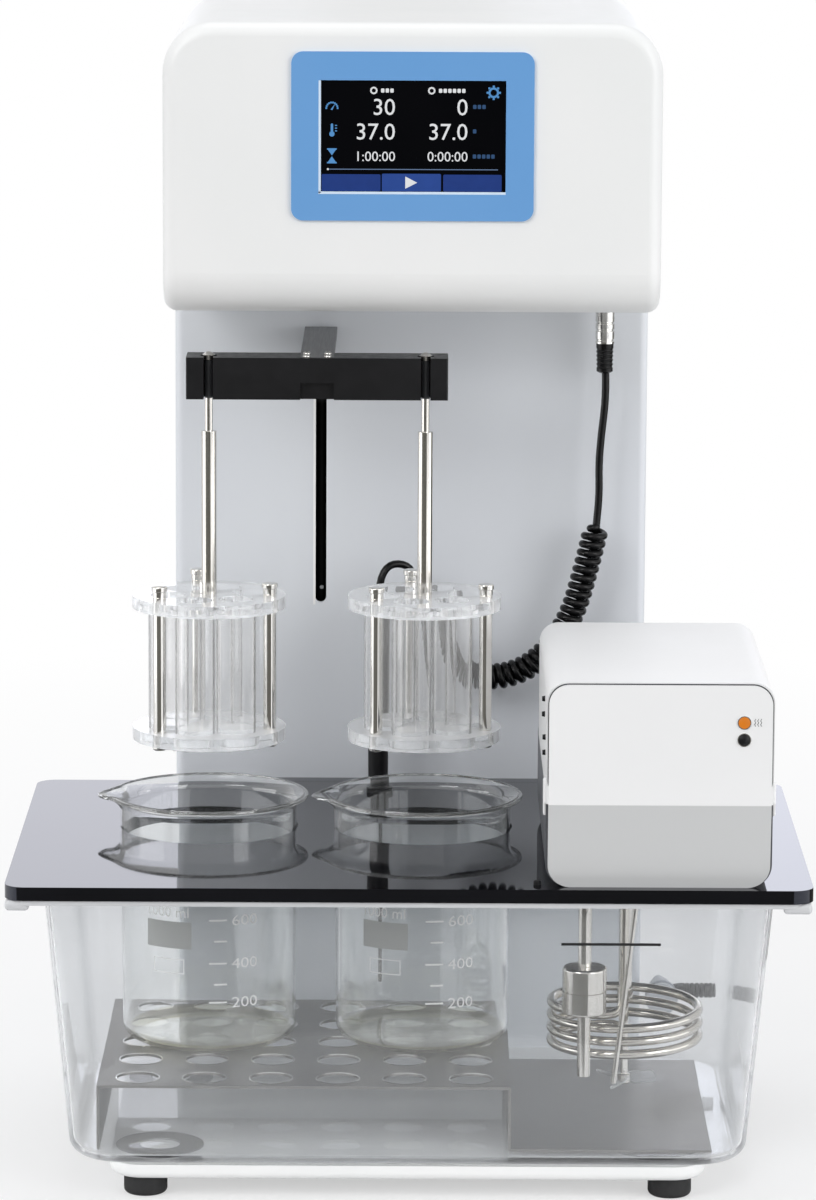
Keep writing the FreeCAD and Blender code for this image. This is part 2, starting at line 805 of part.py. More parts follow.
def make_lift_frame():
    wide = about("work_side", "chassis_width")
    chassis_y = ("screw_y - chassis_front", "chassis_y")
    plate = box("chassis_plate", wide, ("chassis_y", "chassis_y + chassis_thick"),
                ("base_top", "top_flange_low + flange_thick"))
    foot = box("chassis_foot", wide, chassis_y, ("base_top", "base_top + flange_thick"))
    low = box("chassis_low_flange", wide, chassis_y, ("motor_top", "low_flange_top"))
    high = box("chassis_top_flange", wide, chassis_y, ("top_flange_low", "top_flange_low + flange_thick"))
    bearing = rod("screw_bearing", "screw_dia + 2 * run_gap",
                  ("work_side", "screw_y", "top_flange_low - 1"), "flange_thick + 2")
    collar = rod("motor_collar_hole", "motor_collar_dia",
                 ("work_side", "screw_y", "motor_top - 1"), "flange_thick + 2")
    finish("lift_chassis", cut("chassis", fuse("chassis_solid", [plate, foot, low, high]),
                               [bearing, collar]))
    span = "top_flange_low - low_flange_top"
    guides = [rod("guide_rod", "rod_dia", (x, "screw_y", "low_flange_top"), span)
              for x in about("work_side", "rod_spacing")]
    finish("guide_rods", group("guides", guides))
    block = soft_box("motor_block", about("work_side", "motor_side"), about("screw_y", "motor_side"),
                     ("motor_top - motor_tall", "motor_top"), ("z", "5"))
    boss = rod("motor_boss", "motor_collar_dia", ("work_side", "screw_y", "motor_top"),
               "motor_collar_tall")
    seat = rod("motor_seat", "screw_dia + 2 * run_gap",
               ("work_side", "screw_y", "motor_top + motor_collar_tall - screw_seat"),
               "screw_seat + 1")
    finish("lift_motor", cut("motor", fuse("motor_solid", [block, boss]), [seat]))
    low_end = "motor_top + motor_collar_tall - screw_seat + seat_gap"
    finish("lead_screw", rod("screw", "screw_dia", ("work_side", "screw_y", low_end),
                             f"top_flange_low + flange_thick - ({low_end})"))


def make_carriage():
    block = soft_box("carriage_block", about("work_side", "carriage_width"),
                     ("carriage_front", "carriage_front + carriage_depth"),
                     ("carriage_low", "carriage_high"), ("z", "2"))
    bores = [rod("carriage_bore", "rod_dia + 2 * run_gap", (x, "screw_y", "carriage_low - 1"),
                 "carriage_tall + 2") for x in about("work_side", "rod_spacing")]
    bores.append(rod("carriage_nut_seat", "nut_body_dia", ("work_side", "screw_y", "carriage_low - 1"),
                     "nut_body_tall + 1"))
    bores.append(rod("carriage_screw_way", "screw_dia + 2 * screw_pass_gap",
                     ("work_side", "screw_y", "carriage_low"), "carriage_tall + 1"))
    finish("lift_carriage", cut("carriage", block, bores))
    body = rod("nut_body", "nut_body_dia", ("work_side", "screw_y", "nut_low"),
               "nut_flange_tall + nut_body_tall")
    flange = rod("nut_flange", "nut_flange_dia", ("work_side", "screw_y", "nut_low"), "nut_flange_tall")
    bore = rod("nut_bore", "screw_dia + 2 * run_gap", ("work_side", "screw_y", "nut_low - 1"),
               "nut_flange_tall + nut_body_tall + 2")
    finish("lift_nut", cut("nut", fuse("nut_solid", [body, flange]), [bore]))


def arm_screw_places():
    for x in about("work_side", "arm_screw_pitch_x"):
        for y in about("(bar_front + bar_back) / 2", "arm_screw_pitch_y"):
            yield x, y


def make_arm():
    top = "arm_height + arm_thick"
    plate = box("arm_plate", about("work_side", "arm_width"), ("groove_front", "column_front - arm_gap"),
                ("arm_height", top))
    web = box("arm_web", about("work_side", "web_thick"), ("bar_back", "carriage_front"),
              ("web_low", "arm_height"))
    pad_plate = box("arm_pad", about("work_side", "arm_pad_width"),
                    ("carriage_front - arm_pad_thick", "carriage_front"),
                    about("carriage_middle", "arm_pad_tall"))
    holes = [rod("arm_screw_hole", "arm_screw_dia", (x, y, "arm_height - 1"), "arm_thick + 2")
             for x, y in arm_screw_places()]
    finish("drive_arm", cut("arm", fuse("arm_solid", [plate, web, pad_plate]), holes))
    screws = []
    for x, y in arm_screw_places():
        shank = rod("arm_screw_shank", "arm_screw_dia", (x, y, f"{top} - arm_screw_long"),
                    "arm_screw_long")
        head = cone("arm_screw_cap", "arm_screw_head", "arm_screw_head * 0.6", (x, y, top),
                    "arm_screw_head_tall")
        screws.append(fuse("arm_screw", [shank, head]))
    finish("arm_screws", group("arm_screw_set", screws))


def rack_x(side):
    return f"work_side {side} basket_spacing / 2"


RACKS = {"left": "-", "right": "+"}


def make_crossbar():
    bar = soft_box("bar", about("work_side", "bar_wide"), ("bar_front", "bar_back"),
                   ("bar_low", "bar_top"), ("z", "1"))
    tools = [box("bar_groove_cut", about("work_side", "arm_width"), ("groove_front", "bar_back + 1"),
                 ("arm_height", "bar_top + 1"))]
    tools.append(box("bar_recess", about("work_side", "bar_recess_wide"),
                     ("bar_front - 1", "bar_front + bar_recess_deep"),
                     ("bar_low - 1", "bar_low + bar_recess_tall")))
    for x, y in arm_screw_places():
        low = "arm_height + arm_thick - arm_screw_long"
        tools.append(rod("bar_screw_hole", "arm_screw_dia", (x, y, low), "arm_screw_long"))
    notch = "thin_rod_dia + 2 * notch_gap"
    for side in RACKS.values():
        x = rack_x(side)
        tools.append(box("bar_notch", about(x, notch), ("bar_front - 1", "work_depth"),
                         ("bar_low - 1", "bar_top + 1")))
        tools.append(rod("bar_notch_end", notch, (x, "work_depth", "bar_low - 1"), "bar_tall + 2"))
        tools.append(rod("bar_seat", "seat_dia", (x, "work_depth", "seat_height"), "seat_deep + 1"))
    finish("crossbar", cut("bar_cut", bar, tools))


# ---- basket racks -------------------------------------------------------------------------------

def round_spot(x, count, circle, turn, number):
    angle = f"({turn}) + 360 / {count} * {number}"
    return (f"({x}) + {circle} / 2 * cos({angle})", f"work_depth + {circle} / 2 * sin({angle})")


def tube_spots(x):
    turn = "post_turn + 180 / tube_count"
    return [round_spot(x, "tube_count", "tube_circle", turn, n) for n in range(SIZES["tube_count"])]


def post_spots(x):
    return [round_spot(x, "post_count", "post_circle", "post_turn", n) for n in range(SIZES["post_count"])]


def rack_plate(name, x, low, seat_low):
    """A clear plate with six tube holes, their tube seats, three post holes and a hole for the rod."""
    body = new_body(name, x, "work_depth", low)
    outline = new_sketch(body, name + "_outline")
    add_circle(outline, "plate", "plate_dia")
    pad(body, outline, name + "_disc", "plate_thick")
    turn = "post_turn + 180 / tube_count"
    tube_spot = (f"tube_circle / 2 * cos({turn})", f"tube_circle / 2 * sin({turn})")
    hole = new_sketch(body, name + "_hole")
    add_circle(hole, "hole", "tube_dia - 2 * tube_wall", *tube_spot)
    repeat_round(body, pocket_up(body, hole, name + "_bore"), name + "_bores", "tube_count")
    seat = new_sketch(body, name + "_seat")
    add_circle(seat, "seat", "tube_dia + 2 * tube_seat_gap", *tube_spot)
    if not seat_low:
        tie(seat, "AttachmentOffset.Base.z", "plate_thick - tube_seat")
    repeat_round(body, pocket_up(body, seat, name + "_sink", "tube_seat"), name + "_sinks", "tube_count")
    post = new_sketch(body, name + "_post")
    add_circle(post, "post", "post_stub_dia", "post_circle / 2 * cos(post_turn)",
               "post_circle / 2 * sin(post_turn)")
    repeat_round(body, pocket_up(body, post, name + "_way"), name + "_ways", "post_count")
    if seat_low:
        middle = new_sketch(body, name + "_middle")
        add_circle(middle, "middle", "rod_stub_dia")
        pocket_up(body, middle, name + "_rod_hole")
    return body


def make_rack(label, side):
    x = rack_x(side)
    hook_low = "seat_height + seat_gap"
    hook = rod("hook", "hook_dia", (x, "work_depth", hook_low), "hook_tall")
    thin = rod("thin_rod", "thin_rod_dia", (x, "work_depth", f"{hook_low} - thin_rod_long"),
               "thin_rod_long")
    thick = rod("thick_rod", "thick_rod_dia", (x, "work_depth", "plate_top"), "thick_rod_long")
    stub = rod("rod_stub", "rod_stub_dia", (x, "work_depth", "plate_low"), "plate_thick")
    nut = rod("rod_nut", "rod_nut_dia", (x, "work_depth", "plate_low - rod_nut_tall"), "rod_nut_tall")
    finish(f"{label}_hanger_rod", fuse(f"{label}_rod_solid", [hook, thin, thick, stub, nut]))
    finish(f"{label}_upper_plate", rack_plate(f"{label}_upper", x, "plate_low", True))
    finish(f"{label}_lower_plate", rack_plate(f"{label}_lower", x, "low_plate_low", False))
    tubes = []
    tube_low = "low_plate_top - tube_seat"
    tube_long = "plate_space + 2 * tube_seat"
    for spot in tube_spots(x):
        outside = rod("tube_outside", "tube_dia", (*spot, tube_low), tube_long)
        inside = rod("tube_inside", "tube_dia - 2 * tube_wall", (*spot, f"{tube_low} - 1"),
                     f"{tube_long} + 2")
        tubes.append(cut("tube", outside, [inside]))
    finish(f"{label}_glass_tubes", group(f"{label}_tube_set", tubes))
    posts = []
    for spot in post_spots(x):
        parts = [
            rod("post_shaft", "post_dia", (*spot, "low_plate_top"), "plate_space"),
            rod("post_stub", "post_stub_dia", (*spot, "low_plate_low - mesh_thick"),
                "plate_top - low_plate_low + mesh_thick"),
            rod("post_nut", "post_dia", (*spot, "plate_top"), "post_nut_tall"),
            rod("post_cap", "post_nut_dia", (*spot, "plate_top + post_nut_tall * 0.55"),
                "post_nut_tall * 0.45"),
            rod("post_head", "post_head_dia", (*spot, "low_plate_low - mesh_thick - post_head_tall"),
                "post_head_tall"),
        ]
        posts.append(fuse("post", parts))
    finish(f"{label}_posts", group(f"{label}_post_set", posts))
    cloth = rod("mesh_cloth", "mesh_dia", (x, "work_depth", "low_plate_low - mesh_thick"), "mesh_thick")
    holes = [rod("mesh_hole", "post_stub_dia", (*spot, "low_plate_low - mesh_thick - 1"),
                 "mesh_thick + 2") for spot in post_spots(x)]
    finish(f"{label}_wire_mesh", cut(f"{label}_mesh", cloth, holes))
    discs = [rod("disc", "disc_dia", (*spot, "low_plate_low + seat_gap"), "disc_tall")
             for spot in tube_spots(x)]
    finish(f"{label}_discs", group(f"{label}_disc_set", discs))


def make_beaker(label, side):
    """A glass wall turned about the beaker's axis, with a rounded heel and a lip that opens out."""
    outer, wall = size("beaker_dia") / 2, size("beaker_wall")
    tall, heel, lip = size("beaker_tall"), size("beaker_heel"), size("beaker_lip")
    inner_heel = heel - wall
    low = lambda x, z: Vector(x, 0, z)
    slant = math.sqrt(0.5)
    path = [
        Part.LineSegment(low(0, 0), low(outer - heel, 0)),
        Part.Arc(low(outer - heel, 0), low(outer - heel + heel * slant, heel - heel * slant),
                 low(outer, heel)),
        Part.LineSegment(low(outer, heel), low(outer, tall - lip)),
        Part.Arc(low(outer, tall - lip), low(outer + lip - lip * slant, tall - lip + lip * slant),
                 low(outer + lip, tall)),
        Part.LineSegment(low(outer + lip, tall), low(outer + lip - wall, tall)),
        Part.Arc(low(outer + lip - wall, tall),
                 low(outer - wall + lip - lip * slant, tall - lip + lip * slant),
                 low(outer - wall, tall - lip)),
        Part.LineSegment(low(outer - wall, tall - lip), low(outer - wall, heel)),
        Part.Arc(low(outer - wall, heel),
                 low(outer - heel + inner_heel * slant, heel - inner_heel * slant),
                 low(outer - heel, wall)),
        Part.LineSegment(low(outer - heel, wall), low(0, wall)),
        Part.LineSegment(low(0, wall), low(0, 0)),
    ]
    profile = Part.Face(Part.Wire([piece.toShape() for piece in path]))
    glass = doc.addObject("Part::Feature", f"{label}_beaker_glass")
    glass.Shape = profile.revolve(Vector(), Vector(0, 0, 1), 360)
    tie_base(glass, rack_x(side), "work_depth", "deck_top + seat_gap")
    finish(f"{label}_beaker", glass)


# ---- bath ---------------------------------------------------------------------------------------

def tank_block(name, inset, low, high, corner, heel):
    """The tapered, round-cornered block of the tank's outside, or of its inside at a wall's inset."""
    body = new_body(name, f"-tank_side_low + {inset}", f"tank_front_low + {inset}", low)
    sketch = new_sketch(body, name + "_foot")
    add_rectangle(sketch, "foot", f"2 * (tank_side_low - {inset})",
                  f"tank_back_low - tank_front_low - 2 * ({inset})")
    block = pad(body, sketch, name + "_block", f"({high}) - ({low})")
    tie(block, "TaperAngle", "tank_draft")
    doc.recompute()
    upright = [f"Edge{n}" for n, edge in enumerate(block.Shape.Edges, start=1)
               if edge.BoundBox.ZLength > 1]
    corners = body.newObject("PartDesign::Fillet", name + "_corners")
    corners.Base = (block, upright)
    tie(corners, "Radius", corner)
    doc.recompute()
    bottom = [f"Edge{n}" for n, edge in enumerate(corners.Shape.Edges, start=1)
              if abs(edge.CenterOfMass.z) < 0.01]
    round_heel = body.newObject("PartDesign::Fillet", name + "_heel")
    round_heel.Base = (corners, bottom)
    tie(round_heel, "Radius", heel)
    return body


def make_bath():
    outside = tank_block("tank_outside", "0", "tank_low", "lid_low", "tank_corner", "tank_heel")
    inside = tank_block("tank_inside", "tank_wall", "tank_inside_low", "lid_low + 1",
                        "tank_corner - tank_wall", "tank_heel - tank_wall")
    rim = soft_box("tank_rim", both("lid_width - 2 * rim_inset"),
                   ("front_y + rim_inset", "lid_back - rim_inset"),
                   ("tank_high", "lid_low"), ("z", "lid_corner"))
    through = rod("tank_tap_hole", "tap_barrel_dia",
                  ("tap_side", "tank_back_low - tap_flange_dia", "tap_height"), "3 * tap_flange_dia", "y")
    finish("bath_tank", cut("tank", fuse("tank_solid", [outside, rim]), [inside, through]))
    sheet = soft_box("lid_sheet", both("lid_width"), ("front_y", "lid_back"),
                     ("lid_low", "lid_height"), ("z", "lid_corner"))
    holes = [rod("lid_beaker_hole", "lid_hole_dia", (rack_x(side), "work_depth", "lid_low - 1"),
                 "lid_thick + 2") for side in RACKS.values()]
    holes.append(rod("lid_probe_hole", "probe_hole_dia", ("probe_side", "probe_depth", "lid_low - 1"),
                     "lid_thick + 2"))
    holes.append(box("lid_hatch", ("unit_left + hatch_side_gap", "unit_right - hatch_side_gap"),
                     ("unit_front + hatch_end_gap", "unit_back - hatch_end_gap"),
                     ("lid_low - 1", "lid_height + 1")))
    finish("bath_lid", cut("lid", sheet, holes))


def make_tray():
    deep = ("deck_front", "deck_back")
    floor = "tank_inside_low"
    deck = box("tray_deck", ("tray_left", "deck_right"), deep, ("deck_top - tray_sheet", "deck_top"))
    leg = box("tray_leg", ("tray_left", "tray_left + tray_sheet"), deep, (floor, "deck_top"))
    step = box("tray_step", ("deck_right - tray_sheet", "deck_right"), deep, (floor, "deck_top"))
    plate = box("tray_floor", ("deck_right - tray_sheet", "deck_right + floor_plate_width"), deep,
                (floor, f"{floor} + tray_sheet"))
    holes = []
    for column in range(SIZES["tray_hole_columns"]):
        for row in range(SIZES["tray_hole_rows"]):
            x = f"(tray_left + deck_right) / 2 + ({column} - (tray_hole_columns - 1) / 2) * tray_hole_pitch_x"
            y = f"(deck_front + deck_back) / 2 + ({row} - (tray_hole_rows - 1) / 2) * tray_hole_pitch_y"
            holes.append(rod("tray_hole", "tray_hole_dia", (x, y, "deck_top - tray_sheet - 1"),
                             "tray_sheet + 2"))
    finish("stepped_tray", cut("tray", fuse("tray_solid", [deck, leg, step, plate]), holes))


def make_tap():
    """The tap's flanges stand square on the leaning wall, each clear of it by a thin washer."""
    lean = "tan(tank_draft)"
    wall_out = (f"tank_back_low + (tap_height + tap_flange_dia / 2 - tank_low) * {lean}"
                " + tap_washer")
    wall_in = ("tank_back_low - tank_wall"
               f" + (tap_height - tap_flange_dia / 2 - tank_inside_low) * {lean} - tap_washer")
    flange = rod("tap_inner_flange", "tap_flange_dia", ("tap_side", f"{wall_in} - tap_flange_thick",
                 "tap_height"), "tap_flange_thick", "y")
    barrel = rod("tap_barrel", "tap_barrel_dia", ("tap_side", wall_in, "tap_height"),
                 f"{wall_out} - ({wall_in})", "y")
    nut = rod("tap_nut", "tap_flange_dia", ("tap_side", wall_out, "tap_height"), "tap_flange_thick", "y")
    body = rod("tap_body", "tap_body_dia", ("tap_side", wall_out, "tap_height"), "tap_body_long", "y")
    valve_y = f"{wall_out} + tap_body_long - tap_body_dia / 2"
    spout = rod("tap_spout", "tap_spout_dia", ("tap_side", f"{wall_out} + tap_body_long", "tap_height"),
                "tap_spout_long", "y")
    finish("drain_tap", fuse("tap", [flange, barrel, nut, body, spout]))
    knob_x = "tap_side + tap_body_dia / 2 + seat_gap"
    grip = rod("tap_grip", "tap_knob_dia", (knob_x, valve_y, "tap_height"), "tap_knob_long", "x")
    finish("drain_knob", grip)


# ---- heater and stirrer unit --------------------------------------------------------------------

def make_unit():
    inset = "unit_tray_inset"
    left, right = f"unit_left + {inset}", f"unit_right - {inset}"
    front = "unit_front + unit_tray_rake + unit_wall"
    tray = soft_box("unit_tray", (left, right), (front, f"unit_back - {inset}"),
                    ("lid_height", "tray_high"), ("z+y", "unit_corner"))
    hollow = soft_box("unit_tray_hollow", (f"{left} + unit_wall", f"{right} - unit_wall"),
                      (f"{front} + unit_wall", f"unit_back - {inset} - unit_wall"),
                      ("unit_floor_top", "tray_high + 1"), ("z+y", "unit_corner - unit_wall"))
    stir = rod("unit_stir_hole", "shaft_dia + 2 * screw_pass_gap", ("stir_x", "stir_depth", "lid_height - 1"),
               "unit_floor + 2")
    finish("heater_base", cut("unit_base", tray, [hollow, stir]))
    cover = soft_box("unit_hood", ("unit_left", "unit_right"), ("unit_front + unit_wall", "unit_back"),
                     ("tray_high", "unit_top"), ("y+z", "hood_corner"), ("z+y", "unit_corner"))
    inner = soft_box("unit_hood_hollow", ("unit_left + unit_wall", "unit_right - unit_wall"),
                     ("unit_front + unit_wall - 1", "unit_back - unit_wall"),
                     ("tray_high - 1", "unit_top - unit_wall"),
                     ("y+z", "hood_corner - unit_wall"), ("z+y", "unit_corner - unit_wall"))
    finish("heater_hood", cut("hood", cover, [inner]))
    make_unit_panel()


def make_unit_panel():
    """The front sheet: upright above, and raked back below to the lid, with round lower corners."""
    width, thick = size("unit_width") / 2 - size("panel_inset"), size("unit_wall")
    front, rake = size("unit_front"), size("unit_tray_rake")
    low, bend, high = size("lid_height"), size("tray_high"), size("unit_top") - size("panel_inset")
    outline = [(front, high), (front, bend), (front + rake, low), (front + rake + thick, low),
               (front + thick, bend), (front + thick, high)]
    points = [Vector(0, y, z) for y, z in outline]
    side = Part.Face(Part.makePolygon(points + points[:1]))
    slab = side.extrude(Vector(2 * width, 0, 0))
    slab.translate(Vector(-width, 0, 0))
    round_low, round_high = size("unit_corner"), size("hood_corner")
    mask = Part.makeBox(2 * width, rake + 3 * thick, high - low, Vector(-width, front - thick, low))
    low_edges = [e for e in mask.Edges if e.BoundBox.YLength > 1 and e.BoundBox.ZMax < low + 1]
    high_edges = [e for e in mask.Edges if e.BoundBox.YLength > 1 and e.BoundBox.ZMin > high - 1]
    mask = mask.makeFillet(round_low, low_edges)
    high_edges = [e for e in mask.Edges if e.BoundBox.YLength > 1 and e.BoundBox.ZMin > high - 0.01
                  and e.BoundBox.XLength < 0.01]
    mask = mask.makeFillet(round_high, high_edges)
    panel = doc.addObject("Part::Feature", "unit_panel")
    panel.Shape = slab.common(mask)
    tie_base(panel, "unit_side", "0", "0")
    finish("heater_panel", panel)
    lamps = [rod("lamp", "lamp_dia", ("unit_side + lamp_side", "unit_front - lamp_proud",
                                      f"unit_top - lamp_drop - {row} * lamp_pitch"), "lamp_proud", "y")
             for row in range(2)]
    finish("indicator_lamps", group("lamps", lamps))


def make_coil():
    """Turns that start and end at the back: one leg rises behind them, the other inside them."""
    ring = "(coil_dia - coil_tube) / 2"
    back = f"stir_depth + {ring}"
    spine = doc.addObject("Part::Helix", "coil_spine")
    spine.Placement = FreeCAD.Placement(Vector(), Rotation(Vector(0, 0, 1), 90))
    tie(spine, "Pitch", "coil_pitch")
    tie(spine, "Height", "coil_pitch * coil_turns")
    tie(spine, "Radius", ring)
    tie_base(spine, "stir_x", "stir_depth", "coil_height")
    section = doc.addObject("Part::Circle", "coil_section")
    section.Placement = FreeCAD.Placement(Vector(), TURNS["x"])
    tie(section, "Radius", "coil_tube / 2")
    tie_base(section, "stir_x", back, "coil_height")
    turns = doc.addObject("Part::Sweep", "coil_sweep")
    turns.Sections = [section]
    turns.Spine = (spine, ["Edge1"])
    turns.Solid = True
    turns.Frenet = True
    inner = f"{back} - coil_leg_step"
    coil_high = "coil_height + coil_pitch * coil_turns"
    parts = [turns, rod("coil_link", "coil_tube", ("stir_x", inner, "coil_height"), "coil_leg_step", "y")]
    for y, z in ((back, "coil_height"), (inner, "coil_height"), (back, coil_high)):
        ball = doc.addObject("Part::Sphere", "coil_elbow")
        tie(ball, "Radius", "coil_tube / 2")
        tie_base(ball, "stir_x", y, z)
        parts.append(ball)
    for y, z in ((inner, "coil_height"), (back, coil_high)):
        parts.append(rod("coil_leg", "coil_tube", ("stir_x", y, z), f"lid_height - ({z})"))
    finish("heater_coil", fuse("coil", parts))


def make_stirrer():
    spot = ("stir_x", "stir_depth")
    tube = rod("stir_tube_outside", "stirrer_tube_dia", (*spot, "stirrer_tube_low"),
               "lid_height - stirrer_tube_low")
    bore = rod("stir_tube_bore", "stirrer_tube_dia - 2 * stirrer_tube_wall",
               (*spot, "stirrer_tube_low - 1"), "lid_height - stirrer_tube_low + 2")
    collar = rod("stir_tube_collar", "stirrer_collar_dia", (*spot, "stirrer_tube_low"),
                 "stirrer_collar_tall")
    finish("stirrer_tube", cut("stir_tube", fuse("stir_tube_solid", [tube, collar]), [bore]))
    drive = rod("stir_motor_can", "drive_dia", (*spot, "unit_floor_top"), "drive_tall")
    seat = rod("stir_motor_seat", "shaft_dia + 2 * run_gap", (*spot, "unit_floor_top - 1"),
               "screw_seat + 1")
    finish("stirrer_motor", cut("stir_motor", drive, [seat]))
    shaft = rod("impeller_shaft", "shaft_dia", (*spot, "shaft_low"),
                "unit_floor_top + screw_seat - seat_gap - shaft_low")
    hub = rod("impeller_hub", "impeller_hub_dia", (*spot, "shaft_low"), "impeller_hub_tall")
    blades = []
    for number in range(SIZES["impeller_blades"]):
        blade = doc.addObject("Part::Box", "impeller_vane")
        turn = Rotation(Vector(0, 0, 1), 360 / SIZES["impeller_blades"] * number)
        blade.Placement = FreeCAD.Placement(Vector(), turn)
        tie(blade, "Length", "impeller_span / 2")
        tie(blade, "Width", "impeller_blade")
        tie(blade, "Height", "impeller_hub_tall")
        tie_base(blade, *spot, "shaft_low")
        blades.append(blade)
    finish("impeller", fuse("impeller_solid", [shaft, hub] + blades))


def make_level_float():
    """A drum that rests on a ring sunk in its underside and rises to a second ring below the lid."""
    spot = ("float_x", "float_depth")
    stem = rod("float_rod", "float_stem_dia", (*spot, "float_stem_low"), "lid_height - float_stem_low")
    low = rod("float_low_stop", "float_stop_dia", (*spot, "float_low"), "float_stop_tall")
    high = rod("float_high_stop", "float_stop_dia",
               (*spot, "float_low + float_tall + float_travel + seat_gap"), "float_stop_tall")
    finish("float_stem", fuse("float_stem_solid", [stem, low, high]))
    bore = rod("float_bore", "float_stem_dia + 2 * float_gap", (*spot, "float_low - 1"), "float_tall + 2")
    sink = rod("float_sink", "float_stop_dia + 2 * float_sink_gap", (*spot, "float_low - 1"),
               "float_stop_tall + seat_gap + 1")
    finish("level_float", cut("float_solid", soft_float(), [bore, sink]))


def soft_float():
    body = new_body("float_drum", "float_x", "float_depth", "float_low")
    sketch = new_sketch(body, "float_outline")
    add_circle(sketch, "float", "float_dia")
    block = pad(body, sketch, "float_block", "float_tall")
    doc.recompute()
    fillet = body.newObject("PartDesign::Fillet", "float_round")
    fillet.Base = (block, [f"Edge{n}" for n, edge in enumerate(block.Shape.Edges, start=1)
                           if edge.BoundBox.ZLength < 0.01])
    tie(fillet, "Radius", "float_round")
    return body


def make_cutout():
    """A thin probe that leans to the right up to the unit's floor."""
    thing = rod("cutout", "cutout_dia", ("cutout_x", "cutout_depth", "cutout_low"),
                "cutout_run / cos(cutout_lean) - cutout_dia / 2 * tan(cutout_lean)")
    thing.Placement = FreeCAD.Placement(thing.Placement.Base, Rotation(Vector(0, 1, 0), 1))
    tie(thing, "Placement.Rotation.Angle", "cutout_lean")
    finish("safety_probe", thing)


# ---- temperature probe and its lead -------------------------------------------------------------

LEAD_STRAIGHT = [(119, 86.5, 473.35), (119.8, 86.5, 455), (119.6, 86.5, 436), (117.4, 86.5, 417),
                 (116.0, 86.5, 398), (116.6, 86.5, 380), (115.9, 86.5, 363)]
LEAD_CURLY = [(115.79, 86.5, 362.55), (108.5, 86.5, 332), (100.2, 87.0, 302), (82.0, 87.5, 275),
              (56.0, 87.5, 263), (33.0, 86.5, 268), (16.0, 84.0, 292), (6.0, 80.0, 322)]
LEAD_TAIL = [(5.82, 79.92, 322.35), (-1.5, 76.5, 337), (-13.5, 73.0, 338), (-19.5, 70.5, 327),
             (-19.5, 70.5, 314)]


def tube_path(points):
    """Straight runs joined by tangent arcs, each as large as its two runs allow."""
    spots = [Vector(*point) for point in points]
    edges, start, radii = [], spots[0], []
    for before, corner, after in zip(spots, spots[1:], spots[2:]):
        come, go = corner - before, after - corner
        run = min(come.Length, go.Length)
        turn = come.getAngle(go)
        reach = 0.45 * run
        radius = reach / math.tan(turn / 2)
        radii.append(round(radius, 1))
        come.normalize()
        go.normalize()
        enter, leave = corner - come * reach, corner + go * reach
        middle_way = (go - come).normalize()
        bend = corner + middle_way * (radius / math.cos(turn / 2) - radius)
        edges.append(Part.LineSegment(start, enter).toShape())
        edges.append(Part.Arc(enter, bend, leave).toShape())
        start = leave
    edges.append(Part.LineSegment(start, spots[-1]).toShape())
    return Part.Wire(edges), radii


def cord(name, points, dia):
    path, radii = tube_path(points)
    first = path.Edges[0]
    way = first.tangentAt(first.FirstParameter)
    section = Part.Wire([Part.Circle(Vector(*points[0]), way, dia / 2).toShape()])
    tube = doc.addObject("Part::Feature", name)
    tube.Shape = path.makePipeShell([section], True, False)
    expected = path.Length * math.pi * dia * dia / 4
    print(f"{name}: length {path.Length:.0f}, bend radii {radii}, "
          f"volume {tube.Shape.Volume / expected:.4f} of section times length")
    return tube


def make_probe():
    spot = ("probe_side", "probe_depth")
    collar = rod("handle_collar", "handle_collar_dia", (*spot, "lid_height"), "handle_collar_thick")
    grip = cone("handle_grip", "handle_dia", "handle_top_dia", (*spot, "lid_height"), "handle_tall")
    stem = rod("stem", "probe_stem_dia", (*spot, "probe_stem_low"), "lid_height - probe_stem_low")
    finish("temperature_probe", fuse("probe", [collar, grip, stem]))
    at = ("plug_side", "plug_depth")
    bush = rod("socket_bush", "socket_bush_dia", (*at, "head_height - socket_bush_proud"),
               "housing_wall + socket_bush_proud + 10")
    way = rod("socket_way", "plug_dia - 2", (*at, "head_height - socket_bush_proud - 1"), "12")
    finish("probe_socket", cut("socket", bush, [way]))
    top = "head_height - socket_bush_proud"
    sleeve = rod("plug_sleeve_tube", "plug_dia", (*at, f"{top} - plug_sleeve"), "plug_sleeve")
    tongue = rod("plug_tongue", "plug_dia - 2", (*at, top), "8")
    boot = cone("plug_boot", "plug_boot_dia * 0.75", "plug_boot_dia",
                (*at, f"{top} - plug_sleeve - plug_boot_long"), "plug_boot_long")
    finish("probe_plug", fuse("plug", [sleeve, tongue, boot]))
    finish("lead_straight", cord("lead_down", LEAD_STRAIGHT, size("lead_dia")))
    finish("lead_curly", cord("lead_curl", LEAD_CURLY, size("curl_dia")))
    finish("lead_tail", cord("lead_end", LEAD_TAIL, size("lead_dia")))


# ---- build, check, write ------------------------------------------------------------------------

def build():
    make_base()
    make_column()
    make_head()
    make_cover()
    make_display()
    make_power()
    make_lift_frame()
    make_carriage()
    make_arm()
    make_crossbar()
    for label, side in RACKS.items():
        make_rack(label, side)
        make_beaker(label, side)
    make_bath()
    make_tray()
    make_tap()
    make_unit()
    make_coil()
    make_stirrer()
    make_level_float()
    make_cutout()
    make_probe()
    doc.recompute()


def check():
    """Stop where an object failed to recompute or a piece has no valid solid."""
    for thing in doc.Objects:
        if "Invalid" in thing.State or "Error" in thing.State:
            raise ValueError(f"{thing.Name} failed: {thing.State}")
    for piece in finished:
        shape = piece.Shape
        if shape.isNull() or not shape.isValid() or not shape.Solids:
            raise ValueError(f"{piece.Label} has no valid solid")


